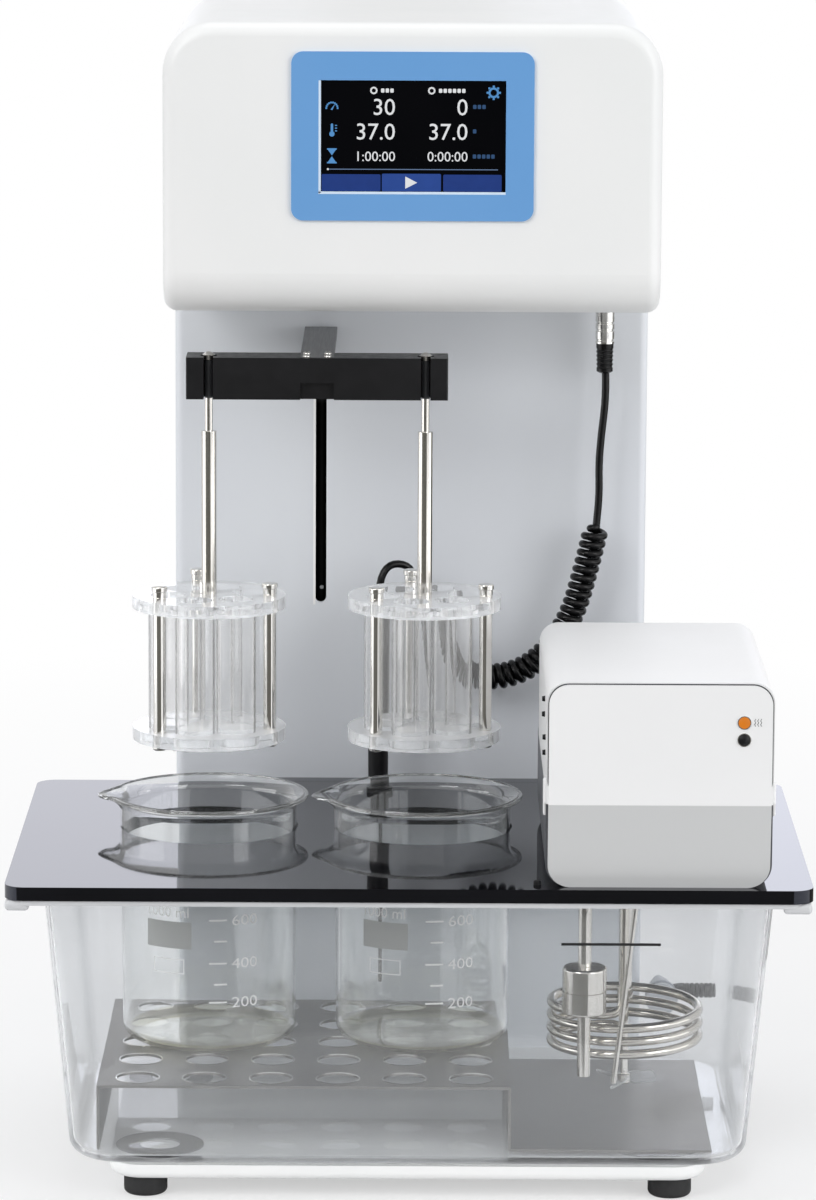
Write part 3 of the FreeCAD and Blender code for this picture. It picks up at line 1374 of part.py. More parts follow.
def write():
    os.makedirs("parts", exist_ok=True)
    whole = FreeCAD.BoundBox()
    for piece in finished:
        piece.Shape.exportStep(f"parts/{piece.Label}.step")
        whole.add(piece.Shape.BoundBox)
        print(f"{piece.Label}: {len(piece.Shape.Solids)} solid(s), {piece.Shape.Volume:.0f} mm3")
    print(f"{len(finished)} pieces, box {whole}")


build()
check()
write()
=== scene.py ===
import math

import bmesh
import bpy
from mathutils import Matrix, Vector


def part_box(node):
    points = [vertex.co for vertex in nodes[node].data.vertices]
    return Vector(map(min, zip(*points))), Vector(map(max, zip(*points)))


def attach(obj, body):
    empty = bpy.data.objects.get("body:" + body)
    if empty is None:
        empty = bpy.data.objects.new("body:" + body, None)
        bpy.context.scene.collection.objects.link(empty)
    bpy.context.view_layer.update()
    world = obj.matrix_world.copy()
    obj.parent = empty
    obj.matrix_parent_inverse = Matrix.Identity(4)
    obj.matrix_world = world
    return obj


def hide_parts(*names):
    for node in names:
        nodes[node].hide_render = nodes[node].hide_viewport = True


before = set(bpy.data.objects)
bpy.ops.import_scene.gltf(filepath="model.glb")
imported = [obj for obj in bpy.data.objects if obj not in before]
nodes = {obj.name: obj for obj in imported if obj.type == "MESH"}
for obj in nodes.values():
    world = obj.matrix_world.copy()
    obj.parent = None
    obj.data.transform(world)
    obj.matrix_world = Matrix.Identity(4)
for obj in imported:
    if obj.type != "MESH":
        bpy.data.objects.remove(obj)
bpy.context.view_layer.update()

# %% [markdown]
# A tablet disintegration tester, dressed for its picture.
#
# The solids of the machine are already here, in metres, standing on Z = 0 with the
# front towards -Y. This lesson keeps the solids whose shape is right, gives each of them
# a finish, and models again those that need finer detail than a solid has: the curly
# lead, the glassware, the woven mesh, the touch screen's picture and small fittings.

MM = 0.001


def box_mm(name):
    """The low and high corners of a solid's box, in millimetres."""
    return [[v / MM for v in corner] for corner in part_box(name)]


def heights(name):
    """The lowest and highest Z of a solid, in millimetres."""
    return [corner[2] for corner in box_mm(name)]


# %% [markdown]
# The camera. A long lens from about three metres keeps the upright edges of the housing
# parallel. It stands a little above the touch screen and looks down by ten degrees, and
# is rolled by a quarter of a degree, as a tripod often is.

# %% Camera
CAMERA_PLACE = Vector((-1.4, -3260.5, 903.0)) * MM
CAMERA_TILT = math.radians(80.0)
CAMERA_ROLL = math.radians(0.28)
LENS = 164.34
SENSOR_WIDTH = 36.0
FARTHEST = 60.0
GLOSSY_BOUNCES = 8
CLEAR_BOUNCES = 32

scene = bpy.context.scene
camera_data = bpy.data.cameras.new("camera")
camera_data.lens = LENS
camera_data.sensor_width = SENSOR_WIDTH
camera_data.clip_end = FARTHEST
camera = bpy.data.objects.new("camera", camera_data)
scene.collection.objects.link(camera)
camera.matrix_world = (
    Matrix.Translation(CAMERA_PLACE)
    @ Matrix.Rotation(CAMERA_TILT, 4, "X")
    @ Matrix.Rotation(CAMERA_ROLL, 4, "Z")
)
scene.camera = camera
scene.cycles.glossy_bounces = GLOSSY_BOUNCES
for kind in ("max_bounces", "transmission_bounces", "transparent_max_bounces"):
    setattr(scene.cycles, kind, CLEAR_BOUNCES)
print("camera:", LENS, "mm lens,", CAMERA_PLACE[:])

# %% [markdown]
# The temperature probe's lead. It leaves a plug under the head, hangs straight down,
# becomes a curly lead that sags and climbs behind the right-hand beaker, and ends
# straight in the probe's handle. The points listed below are the lead's route. A
# NURBS spline with those control points is smooth everywhere, so the lead never kinks.

# %% The lead's route
LEAD_TOP = [(119, 86.5, 473.35), (119.8, 86.5, 455), (119.6, 86.5, 436), (117.4, 86.5, 417),
            (116.0, 86.5, 398), (116.6, 86.5, 380), (115.9, 86.5, 363)]
LEAD_CURLY = [(108.5, 86.5, 332), (100.2, 87, 302), (82, 87.5, 275), (56, 87.5, 263),
              (33, 86.5, 268), (16, 84, 292), (6, 80, 322)]
LEAD_TAIL = [(-1.5, 76.5, 337), (-13.5, 73, 338), (-19.5, 70.5, 327), (-19.5, 70.5, 314)]
LEAD_THICK = 4.7


def spline_curve(name, points, thick):
    """An open NURBS tube through the given points, in metres."""
    curve = bpy.data.curves.new(name, "CURVE")
    curve.dimensions = "3D"
    spline = curve.splines.new("NURBS")
    spline.points.add(len(points) - 1)
    for place, point in zip(points, spline.points):
        point.co = (*place, 1.0)
    spline.order_u = 3
    spline.use_endpoint_u = True
    spline.resolution_u = 4
    curve.bevel_depth = thick / 2
    curve.bevel_resolution = 4
    curve.use_fill_caps = True
    return curve


def mesh_of(curve):
    """The mesh that a curve makes; the curve itself is removed."""
    carrier = bpy.data.objects.new("carrier", curve)
    mesh = bpy.data.meshes.new_from_object(carrier)
    bpy.data.objects.remove(carrier)
    bpy.data.curves.remove(curve)
    return mesh


def points_along(points, resolution):
    """Points read from the smooth line that a NURBS spline makes of the route."""
    curve = spline_curve("route", points, 0.0)
    curve.splines[0].resolution_u = resolution
    mesh = mesh_of(curve)
    line = [vertex.co.copy() for vertex in mesh.vertices]
    bpy.data.meshes.remove(mesh)
    return line


route = [Vector(p) * MM for p in LEAD_TOP + LEAD_CURLY + LEAD_TAIL]
route_line = points_along(route, 24)
route_steps = [0.0]
for before, after in zip(route_line, route_line[1:]):
    route_steps.append(route_steps[-1] + (after - before).length)
print("route:", len(route_line), "points,", round(route_steps[-1], 4), "m")

# %% [markdown]
# The curly part is a helix round that route. Each turn is a ring of control points set
# square to the route, and the helix eases out of the straight lead over one turn, as a
# moulded curly lead does. Its frame is carried along the route without twisting.

# %% Helix points
CURL_START = 0.113
TAIL_LENGTH = 0.046
CURL_END = route_steps[-1] - TAIL_LENGTH
CURL_OUTER = 17.0 * MM
CURL_PITCH = 5.35 * MM
CURL_SIDES = 12


def route_at(distance):
    """The place and direction of the route at a distance along it."""
    index = 1
    while index < len(route_steps) - 1 and route_steps[index] < distance:
        index += 1
    low, high = route_steps[index - 1], route_steps[index]
    share = (distance - low) / (high - low)
    place = route_line[index - 1].lerp(route_line[index], share)
    before = route_line[max(index - 6, 0)]
    after = route_line[min(index + 5, len(route_line) - 1)]
    return place, (after - before).normalized()


curl_length = CURL_END - CURL_START
curl_turns = round(curl_length / CURL_PITCH)
curl_radius = (CURL_OUTER - LEAD_THICK * MM) / 2
helix = []
side = Vector((1, 0, 0))
for step in range(curl_turns * CURL_SIDES + 1):
    share = step / (curl_turns * CURL_SIDES)
    place, along = route_at(CURL_START + share * curl_length)
    side = (side - along * side.dot(along)).normalized()
    angle = math.tau * step / CURL_SIDES
    ease = min(1.0, step / CURL_SIDES, (curl_turns * CURL_SIDES - step) / CURL_SIDES)
    ease = ease * ease * (3 - 2 * ease)
    out = Matrix.Rotation(angle, 3, along) @ side
    helix.append(place + out * curl_radius * ease)
straight_top = [Vector(p) * MM for p in LEAD_TOP[:-1]]
straight_tail = [Vector(p) * MM for p in LEAD_TAIL]
lead_points = straight_top + helix + straight_tail
lead_curve = spline_curve("probe_lead", lead_points, LEAD_THICK * MM)
lead = bpy.data.objects.new("probe_lead", lead_curve)
scene.collection.objects.link(lead)
print("curly part:", curl_turns, "turns over", round(curl_length, 4), "m of route")

# %% [markdown]
# Finishes. A colour is written as it should look on screen and turned into the linear
# light that shaders need. Every finish has a little life in it: paint has an orange-peel
# skin, metal has fine drawn lines, glass has a faint depth, plastic has a grain.
# The patterns read Object coordinates, so that they are the same size on every piece.

# %% Colour and node helpers


def colour(text):
    """A screen colour such as 'F2F2F0' as linear light, with full alpha."""
    values = [int(text[i:i + 2], 16) / 255 for i in (0, 2, 4)]
    linear = [v / 12.92 if v <= 0.04045 else ((v + 0.055) / 1.055) ** 2.4 for v in values]
    return (*linear, 1.0)


def give(node, **inputs):
    """Set inputs of a node; a keyword has _ where the input's name has a space."""
    for name, value in inputs.items():
        node.inputs[name.replace("_", " ")].default_value = value


def add(tree, kind, **inputs):
    """A new shader node of that kind, with its inputs set."""
    node = tree.nodes.new("ShaderNode" + kind)
    give(node, **inputs)
    return node


def wire(tree, *joins):
    """Join nodes; each join is a node, its output, the next node and its input."""
    for source, way_out, target, way_in in joins:
        tree.links.new(source.outputs[way_out], target.inputs[way_in])


def mixed(tree, sign, share, first, second):
    """A node that goes from the first shader to the second with an output of sign."""
    mix = add(tree, "MixShader")
    wire(tree, (sign, share, mix, 0), (first, 0, mix, 1), (second, 0, mix, 2))
    return mix


def show(tree, node, end="Material Output"):
    """The node's shader is the one that is seen."""
    wire(tree, (node, 0, tree.nodes[end], "Surface"))


def shader_of(material):
    return material.node_tree.nodes["Principled BSDF"]


def new_material(name):
    """A material with a plain Principled shader, its node tree and the shader."""
    material = bpy.data.materials.new(name)
    material.use_nodes = True
    return material, material.node_tree, shader_of(material)


def noise(tree, size, detail=2.0, stretch=(1, 1, 1)):
    """A noise pattern whose lumps are about that many metres across."""
    place = add(tree, "TexCoord")
    mapping = add(tree, "Mapping", Scale=stretch)
    pattern = add(tree, "TexNoise", Scale=1.0 / size, Detail=detail)
    wire(tree, (place, "Object", mapping, "Vector"), (mapping, "Vector", pattern, "Vector"))
    return pattern


def tint(tree, shader, pattern, dark, light):
    """The shader's colour runs from dark to light over the middle of the pattern."""
    ramp = add(tree, "ValToRGB")
    for element, place, tone in zip(ramp.color_ramp.elements, (0.35, 0.65), (dark, light)):
        element.position = place
        element.color = tone
    wire(tree, (pattern, "Fac", ramp, "Fac"), (ramp, "Color", shader, "Base Color"))
    return ramp


def vary_roughness(tree, shader, pattern, low, high):
    """The shader's roughness runs between two values with the pattern."""
    spread = add(tree, "MapRange", From_Min=0.3, From_Max=0.7, To_Min=low, To_Max=high)
    wire(tree, (pattern, "Fac", spread, "Value"), (spread, "Result", shader, "Roughness"))


def roughen(tree, shader, pattern, depth):
    """Fine relief of that depth in metres from the pattern."""
    bump = add(tree, "Bump", Distance=depth, Strength=1.0)
    wire(tree, (pattern, "Fac", bump, "Height"), (bump, "Normal", shader, "Normal"))


print("helpers for finishes are ready")

# %% Painted and moulded finishes


def painted(name, dark, light, rough, peel=1.6 * MM, depth=0.006 * MM):
    """Powder-coated or sprayed sheet, with a soft orange peel."""
    material, tree, shader = new_material(name)
    tint(tree, shader, noise(tree, 160 * MM), colour(dark), colour(light))
    vary_roughness(tree, shader, noise(tree, 14 * MM), rough - 0.04, rough + 0.04)
    roughen(tree, shader, noise(tree, peel, 1.0), depth)
    return material


def moulded(name, dark, light, rough, grain=0.5 * MM, depth=0.01 * MM):
    """Injection-moulded plastic or rubber, with an even fine grain."""
    material, tree, shader = new_material(name)
    tint(tree, shader, noise(tree, 25 * MM, 4.0), colour(dark), colour(light))
    vary_roughness(tree, shader, noise(tree, 5 * MM), rough - 0.05, rough + 0.05)
    roughen(tree, shader, noise(tree, grain), depth)
    return material


WHITE = painted("white_powder_coat", "EDEEED", "F1F1F0", 0.36)
COLUMN = painted("column_powder_coat", "DDE0E5", "E2E5E9", 0.42)
BLUE = painted("bezel_blue", "639CD4", "699FD6", 0.38, peel=0.9 * MM)
UNIT_WHITE = painted("unit_gloss_white", "F4F4F4", "F7F7F7", 0.5, depth=0.0015 * MM)
UNIT_FRONT = painted("unit_front_white_painted_shade", "F1F1F1", "F4F4F4", 0.5, depth=0.0015 * MM)
UNIT_BASE = painted("unit_base_grey", "5C5E62", "63656A", 0.4)
TRIM = painted("rim_trim_grey", "C9CACC", "D0D1D3", 0.32)
# The white enamel also serves as the painted highlight on the edge of the column's slot.
WHITE_ENAMEL_AND_EDGE_HIGHLIGHT = painted("white_enamel_print_and_edge_highlight", "F4F4F2", "FAFAF8", 0.5)
GREY_ENAMEL = painted("grey_enamel_print", "A6A8A5", "ADAFAC", 0.5)
SLEEVE_GREY = painted("sleeve_grey", "46474A", "4E4F52", 0.35)
EDGE = painted("edge_highlight", "C9DDF2", "D6E6F6", 0.4)
INK = moulded("black_print", "060607", "0B0B0C", 0.6)
# Black plastic also stands for the painted shade inside the rear cover's vent slots.
BLACK_PLASTIC_AND_VENT_SHADE = moulded("black_plastic", "0D0D0E", "131315", 0.4)
# Dark plastic also serves as the painted shade in the gap round the heater's front panel.
DARK_PLASTIC_AND_GAP_SHADE = moulded("dark_plastic", "2A2B2E", "323337", 0.45)
RUBBER = moulded("black_rubber", "161617", "1E1E1F", 0.68, grain=0.8 * MM, depth=0.04 * MM)
CABLE = moulded("black_cable", "09090A", "0E0E0F", 0.22, grain=0.7 * MM, depth=0.006 * MM)
BOARD = moulded("green_board", "14532E", "1C6B3B", 0.45, grain=1.2 * MM, depth=0.05 * MM)
ANODISED = moulded("black_anodised", "0F0F11", "151517", 0.34, grain=0.3 * MM, depth=0.002 * MM)
for dull, level in ((ANODISED, 0.3), (CABLE, 0.25), (BLACK_PLASTIC_AND_VENT_SHADE, 0.25)):
    give(shader_of(dull), Specular_IOR_Level=level)
PALE_PLASTIC = moulded("pale_plastic", "B4B8BF", "BEC2C8", 0.4)
BLACKENED = moulded("blackened_steel", "0C0D0E", "121315", 0.5, depth=0.002 * MM)


def below(material, height, dark, light):
    """Under that height in metres the finish takes other tones."""
    tree, shader = material.node_tree, shader_of(material)
    upper = shader.inputs["Base Color"].links[0].from_node
    pattern = upper.inputs["Fac"].links[0].from_node
    place = add(tree, "TexCoord")
    split = add(tree, "SeparateXYZ")
    step = add(tree, "MapRange", From_Min=height - 0.3 * MM, From_Max=height + 0.3 * MM)
    lower = add(tree, "ValToRGB")
    for element, tone in zip(lower.color_ramp.elements, (dark, light)):
        element.color = colour(tone)
    mix = add(tree, "Mix")
    mix.data_type = "RGBA"
    wire(tree, (place, "Object", split, 0), (split, "Z", step, "Value"),
         (pattern, "Fac", lower, "Fac"), (step, "Result", mix, "Factor"), (lower, "Color", mix, "A"),
         (upper, "Color", mix, "B"), (mix, "Result", shader, "Base Color"))


# The front panel's lower part, which leans back under the bend, is painted darker below 244.5 mm: painted
# shade.
below(UNIT_FRONT, 244.5 * MM, "CCCDCD", "D0D1D1")
print("painted and moulded finishes:", len(bpy.data.materials))

# %% Metal finishes


def metal(name, dark, light, rough, along=(1, 1, 1), line=0.6 * MM, depth=0.0004 * MM):
    """Bare metal with drawn lines; along squeezes the pattern on the axes across them."""
    material, tree, shader = new_material(name)
    give(shader, Metallic=1.0)
    tint(tree, shader, noise(tree, 60 * MM), colour(dark), colour(light))
    lines = noise(tree, line, 2.0, along)
    vary_roughness(tree, shader, lines, rough - 0.03, rough + 0.04)
    roughen(tree, shader, lines, depth)
    return material


STEEL = metal("polished_steel", "D8D5CF", "E2DFD9", 0.11, along=(1, 1, 0.02))
BRIGHT = metal("bright_steel", "DEDCD8", "E8E6E2", 0.08, along=(1, 1, 0.1))
SHEET = metal("rolled_steel", "858380", "8E8C89", 0.36, along=(0.02, 1, 1), depth=0.002 * MM)
ARM = metal("brushed_steel_arm", "6A6A6B", "727273", 0.32, along=(1, 0.02, 1))
COIL = metal("coil_steel", "CBC7BF", "D8D4CC", 0.13, line=1.2 * MM)
NICKEL = metal("nickel_plate", "D9D8D5", "E4E3E0", 0.14)
GREY_METAL = metal("zinc_plate", "9C9EA1", "A8AAAD", 0.38, line=6 * MM)
print("metal finishes are made")

# %% Clear finishes


def clear(name, tone, rough, bend, wear, milky, edge, coat):
    """Clear glass or plastic that lets the lamps' light through to what is inside it.

    milky is the white share that is seen straight on, and edge the share at its edges. The
    white at the edges is a painted reflection of the light that clear walls catch there, and in
    the milky plastics partly their real haze.
    """
    material, tree, shader = new_material(name)
    give(shader, IOR=bend, Coat_Weight=coat, Coat_Roughness=0.02)
    facing = add(tree, "LayerWeight", Blend=0.5)
    spread = add(tree, "MapRange", From_Min=0.45, From_Max=1.0, To_Min=1.0 - milky, To_Max=1.0 - edge)
    wire(tree, (facing, "Facing", spread, "Value"), (spread, "Result", shader, "Transmission Weight"))
    deep = [v * 0.985 for v in colour(tone)[:3]]
    tint(tree, shader, noise(tree, 40 * MM), (*deep, 1.0), colour(tone))
    vary_roughness(tree, shader, noise(tree, 12 * MM, 4.0), rough, rough + wear)
    glow = add(tree, "BsdfTransparent", Color=colour(tone))
    rays = add(tree, "LightPath")
    show(tree, mixed(tree, rays, "Is Shadow Ray", shader, glow))
    return material


# The numbers are rough, bend, wear, milky, edge and coat.
GLASS = clear("borosilicate_glass", "FDFEFE", 0.0, 1.47, 0.006, 0.0, 0.3, 0.5)
TUBE_GLASS = clear("tube_glass", "FEFEFE", 0.0, 1.25, 0.004, 0.02, 0.4, 0.6)
ACRYLIC = clear("clear_acrylic", "FBFCFD", 0.05, 1.3, 0.06, 0.2, 0.6, 0.5)
TANK = clear("tank_plastic", "F6F7F8", 0.02, 1.03, 0.02, 0.05, 0.4, 0.7)
CLEAR_BLADE = clear("clear_blades", "F4F6F8", 0.04, 1.3, 0.01, 0.1, 0.5, 0.0)
below(GLASS, 71 * MM, "F9F7E2", "FBFAEA")
give(shader_of(GLASS), Specular_IOR_Level=1.0)
print("clear finishes are made")

# %% Glossy black finishes


def glossy(name, dark, light, rough, bend):
    """A black plate with a polished face that mirrors what stands on it."""
    material, tree, shader = new_material(name)
    tint(tree, shader, noise(tree, 60 * MM), colour(dark), colour(light))
    vary_roughness(tree, shader, noise(tree, 50 * MM, 4.0), rough, rough + 0.02)
    # The bluish tint of its reflections is painted in: it stands for the colour of the light round the lid
    # and the screen.
    give(shader, IOR=bend, Specular_Tint=colour("DDE2F6"))
    return material


LID = glossy("lid_gloss_black", "08080A", "0C0C0F", 0.03, 1.62)
SCREEN = glossy("screen_glass", "020203", "040405", 0.12, 1.15)
print("glossy finishes are made")

# %% Lit and glowing finishes


def lit(name, tone, share=0.85):
    """A patch of a lit screen or lamp: it glows in its own colour, a little unevenly."""
    material, tree, shader = new_material(name)
    dim = [v * 0.94 for v in colour(tone)[:3]]
    ramp = tint(tree, shader, noise(tree, 6 * MM), (*dim, 1.0), colour(tone))
    wire(tree, (ramp, "Color", shader, "Emission Color"))
    tree.links.remove(shader.inputs["Base Color"].links[0])
    give(shader, Emission_Strength=share, Specular_IOR_Level=0.1, Roughness=0.4,
         Base_Color=colour("101012"))
    return material


LIT_WHITE = lit("lit_white", "F2F4F6")
LIT_BUTTON = lit("lit_button", "1F3D86")
LIT_PLAY = lit("lit_play_button", "2A4C9A")
LIT_BLUE = lit("lit_blue", "5B9BD8")
LIT_DIM = lit("lit_dim_blue", "32537C")
LIT_LINE = lit("lit_line", "7189AE")
AMBER = lit("amber_lamp", "F08A24", 0.8)
print("lit finishes are made")

# %% Each solid takes its finish
FINISHES = (
    (WHITE, "head_shell rear_cover base_plate"),
    (COLUMN, "column_shell"),
    (BLUE, "bezel"),
    (UNIT_WHITE, "heater_hood"),
    (UNIT_FRONT, "heater_panel"),
    (UNIT_BASE, "heater_base"),
    (RUBBER, "rubber_feet tank_pads drain_knob"),
    (PALE_PLASTIC, "drain_tap"),
    (SCREEN, "touch_screen"),
    (LID, "bath_lid"),
    (BOARD, "control_board"),
    (BLACK_PLASTIC_AND_VENT_SHADE, "mains_inlet switch_rocker probe_plug temperature_probe"),
    (DARK_PLASTIC_AND_GAP_SHADE, "stirrer_motor"),
    (ANODISED, "crossbar"),
    (BLACKENED, "lift_carriage lift_chassis lift_nut lead_screw guide_rods"),
    (ARM, "drive_arm"),
    (GREY_METAL, "power_supply lift_motor"),
    (BRIGHT, "arm_screws cover_screws"),
    (NICKEL, "probe_socket"),
    (STEEL, "left_hanger_rod right_hanger_rod left_posts right_posts float_stem "
            "stirrer_tube safety_probe impeller left_wire_mesh right_wire_mesh level_float"),
    (SHEET, "stepped_tray"),
    (COIL, "heater_coil"),
    (GLASS, "left_beaker right_beaker"),
    (TUBE_GLASS, "left_glass_tubes right_glass_tubes"),
    (ACRYLIC, "left_upper_plate right_upper_plate left_lower_plate right_lower_plate "
              "left_discs right_discs"),
    (TANK, "bath_tank"),
    (BLACK_PLASTIC_AND_VENT_SHADE, "indicator_lamps"),
    (CABLE, "lead_straight lead_curly lead_tail"),
)
for finish, names in FINISHES:
    for name in names.split():
        nodes[name].data.materials.clear()
        nodes[name].data.materials.append(finish)
dressed = " ".join(names for _, names in FINISHES).split()
print("solids with a finish:", len(dressed), "still bare:", sorted(set(nodes) - set(dressed)))

# %% [markdown]
# The lead takes its cable finish, rides on the stand in place of the lead's solids, and the
# smooth line through its points is read off.

# %% Lead in place
lead_curve.materials.append(CABLE)
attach(lead, "stand")
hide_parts("lead_straight", "lead_curly", "lead_tail")
lead_line = points_along(lead_points, 4)

# %% [markdown]
# Helpers for new pieces. A turned part such as a beaker or a nut is an outline of radius
# and height that spins about an upright axis. A block starts as a cube whose edges are
# bevelled. Both are written in millimetres, in the machine's own frame, so that every
# finished piece has its object at the origin.

# %% Turned parts, blocks and finished pieces
WELD = 0.004 * MM
CREASE = math.radians(35)
SIZE_OF_FIGURE = 1.38
FORWARD = Matrix.Rotation(math.radians(90), 4, "X")


def lathe(shape, outline, middle, steps, move=None):
    """Spin an outline of (radius, height) pairs about an upright axis, then move it."""
    x, y = middle
    before = set(shape.verts)
    line = [shape.verts.new(Vector((x + radius, y, height)) * MM) for radius, height in outline]
    edges = [shape.edges.new(pair) for pair in zip(line, line[1:])]
    bmesh.ops.spin(shape, geom=line + edges, cent=Vector((x, y, 0)) * MM, axis=(0, 0, 1),
                   angle=math.tau, steps=steps, use_merge=True)
    made = [vertex for vertex in shape.verts if vertex not in before]
    bmesh.ops.remove_doubles(shape, verts=made, dist=WELD)
    if move is not None:
        made = [vertex for vertex in shape.verts if vertex not in before]
        bmesh.ops.transform(shape, verts=made, matrix=move)


def arc(middle, radius, start, end, steps=6):
    """Points of (radius, height) round a small circle, between two angles in degrees."""
    turns = [math.radians(start + (end - start) * step / steps) for step in range(steps + 1)]
    return [(middle[0] + radius * math.cos(turn), middle[1] + radius * math.sin(turn)) for turn in turns]


def block(shape, low, high, soft=0.0, way=None, segments=4):
    """A box between two corners; its edges along one axis, or all, are bevelled."""
    made = bmesh.ops.create_cube(shape, size=1.0)["verts"]
    spread = [(b - a) * MM for a, b in zip(low, high)]
    middle = [(a + b) / 2 * MM for a, b in zip(low, high)]
    bmesh.ops.scale(shape, verts=made, vec=spread)
    bmesh.ops.translate(shape, verts=made, vec=middle)
    if soft:
        edges = {edge for vertex in made for edge in vertex.link_edges}
        if way is not None:
            edges = {e for e in edges if abs((e.verts[0].co - e.verts[1].co).normalized()[way]) > 0.9}
        bmesh.ops.bevel(shape, geom=list(edges), offset=soft * MM, offset_type="OFFSET",
                        segments=segments, profile=0.5, affect="EDGES", material=-1)


def stick(shape, start, end, width, sides, end_width=None):
    """A round bar between two points."""
    start, end = Vector(start) * MM, Vector(end) * MM
    along = end - start
    turn = along.to_track_quat("Z", "Y").to_matrix().to_4x4()
    bmesh.ops.create_cone(shape, cap_ends=True, segments=sides, radius1=width / 2 * MM,
                          radius2=(end_width or width) / 2 * MM, depth=along.length,
                          matrix=Matrix.Translation((start + end) / 2) @ turn)


def placed(name, shape, finish):
    """Close a bmesh into an object with one finish."""
    mesh = bpy.data.meshes.new(name)
    shape.to_mesh(mesh)
    shape.free()
    mesh.materials.append(finish)
    piece = bpy.data.objects.new(name, mesh)
    scene.collection.objects.link(piece)
    return piece


def finished(name, shape, finish, body="stand", replaces=()):
    """Close a bmesh into a piece that rides on a body, smooth except at its creases."""
    bmesh.ops.recalc_face_normals(shape, faces=shape.faces)
    piece = placed(name, shape, finish)
    for polygon in piece.data.polygons:
        polygon.use_smooth = True
    piece.data.set_sharp_from_angle(angle=CREASE)
    piece.modifiers.new("even_shading", "WEIGHTED_NORMAL").keep_sharp = True
    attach(piece, body)
    if replaces:
        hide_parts(*replaces)
    print(name, "has", len(piece.data.polygons), "faces")


def add_lettering(shape, words, tall, place, align="CENTER", wide=1.0):
    """Plain figures made a mesh: place gives their foot, and they face the front."""
    curve = bpy.data.curves.new("figures", "FONT")
    curve.body = words
    curve.size = tall * SIZE_OF_FIGURE * MM
    curve.align_x = align
    curve.resolution_u = 3
    mesh = mesh_of(curve)
    mesh.transform(Matrix.Translation(Vector(place) * MM) @ FORWARD @ Matrix.Diagonal((wide, 1, 1, 1)))
    shape.from_mesh(mesh)
    bpy.data.meshes.remove(mesh)


print("helpers for pieces are ready")

# %% [markdown]
# The beakers. Each is a low-form litre beaker of thin glass: a flat bottom with a round
# heel, a straight wall, a lip that flares into a bead, and a pouring spout pulled out of
# the rim. The outline is spun and then the spout is pulled by moving the rim's points.

# %% Beakers
WORK_X = -56.0
WORK_Y = -29.0
RACK_X = {"left": WORK_X - 64.5, "right": WORK_X + 64.5}
BEAKER_RADIUS = 52.5
BEAKER_LOW, BEAKER_TOP = heights("left_beaker")
RIM_RADIUS = 59.75
BEAD = 1.15
SPOUT_REACH = 8.6
SPOUT_DROP = 1.6
SPOUT_TALL = 15
SPOUT_ANGLE = 22


def beaker_outline():
    wall, heel, flare = 2.0, 9.0, 7.5
    low, top, outside = BEAKER_LOW, BEAKER_TOP, BEAKER_RADIUS
    bend = (outside + flare, top - 2 * BEAD - flare + 1)
    outline = [(0, low), (outside - heel, low)]
    outline += arc((outside - heel, low + heel), heel, -75, 0)
    outline += arc(bend, flare, 180, 105, 5)
    outline += arc((RIM_RADIUS - BEAD, top - BEAD), BEAD, -60, 200, 8)
    outline += arc(bend, flare + wall, 110, 180, 5)
    outline += arc((outside - heel, low + heel), heel - wall, 0, -90)
    return outline + [(0, low + wall)]


def pull_spout(shape, middle):
    """Draw the rim out towards -X over a narrow angle, most at the very top."""
    for vertex in shape.verts:
        away = Vector((vertex.co.x - middle[0] * MM, vertex.co.y - middle[1] * MM, 0))
        share = (vertex.co.z / MM - (BEAKER_TOP - SPOUT_TALL)) / SPOUT_TALL
        if share <= 0 or away.length < 40 * MM:
            continue
        off = math.degrees(away.angle(Vector((-1, 0, 0)))) / SPOUT_ANGLE
        if off < 1:
            share = (0.5 + 0.5 * math.cos(math.pi * off)) ** 1.3 * share ** 2
            vertex.co += away.normalized() * SPOUT_REACH * MM * share
            vertex.co.z -= SPOUT_DROP * MM * share


for side, x in RACK_X.items():
    shape = bmesh.new()
    lathe(shape, beaker_outline(), (x, WORK_Y), 96)
    pull_spout(shape, (x, WORK_Y))
    finished(f"{side}_beaker_glass", shape, GLASS, f"{side}_vessel", [f"{side}_beaker"])

# %% [markdown]
# The beakers' scale. Lines, plain figures and an empty box are printed in white enamel on
# the front, and a marking patch in grey. They are drawn flat and then wrapped round the
# wall, each point going to the angle that its distance along the wall gives.

# %% Graduations


def wrap(shape, middle, radius):
    """Bend flat print in X and Z round an upright wall, from its front."""
    for vertex in shape.verts:
        turn = vertex.co.x / (radius * MM)
        out = radius * MM - vertex.co.y
        vertex.co.x = middle[0] * MM + out * math.sin(turn)
        vertex.co.y = middle[1] * MM - out * math.cos(turn)


def patch(shape, left, low, right, high):
    """A flat rectangle of print in X and Z, in strips narrow enough to bend."""
    strips = max(1, round((right - left) / 3))
    turn = Matrix.Translation(Vector(((left + right) / 2, 0, (low + high) / 2)) * MM)
    turn = turn @ FORWARD @ Matrix.Diagonal(((right - left) * MM, (high - low) * MM, 1, 1))
    bmesh.ops.create_grid(shape, x_segments=strips, y_segments=1, size=0.5, matrix=turn)


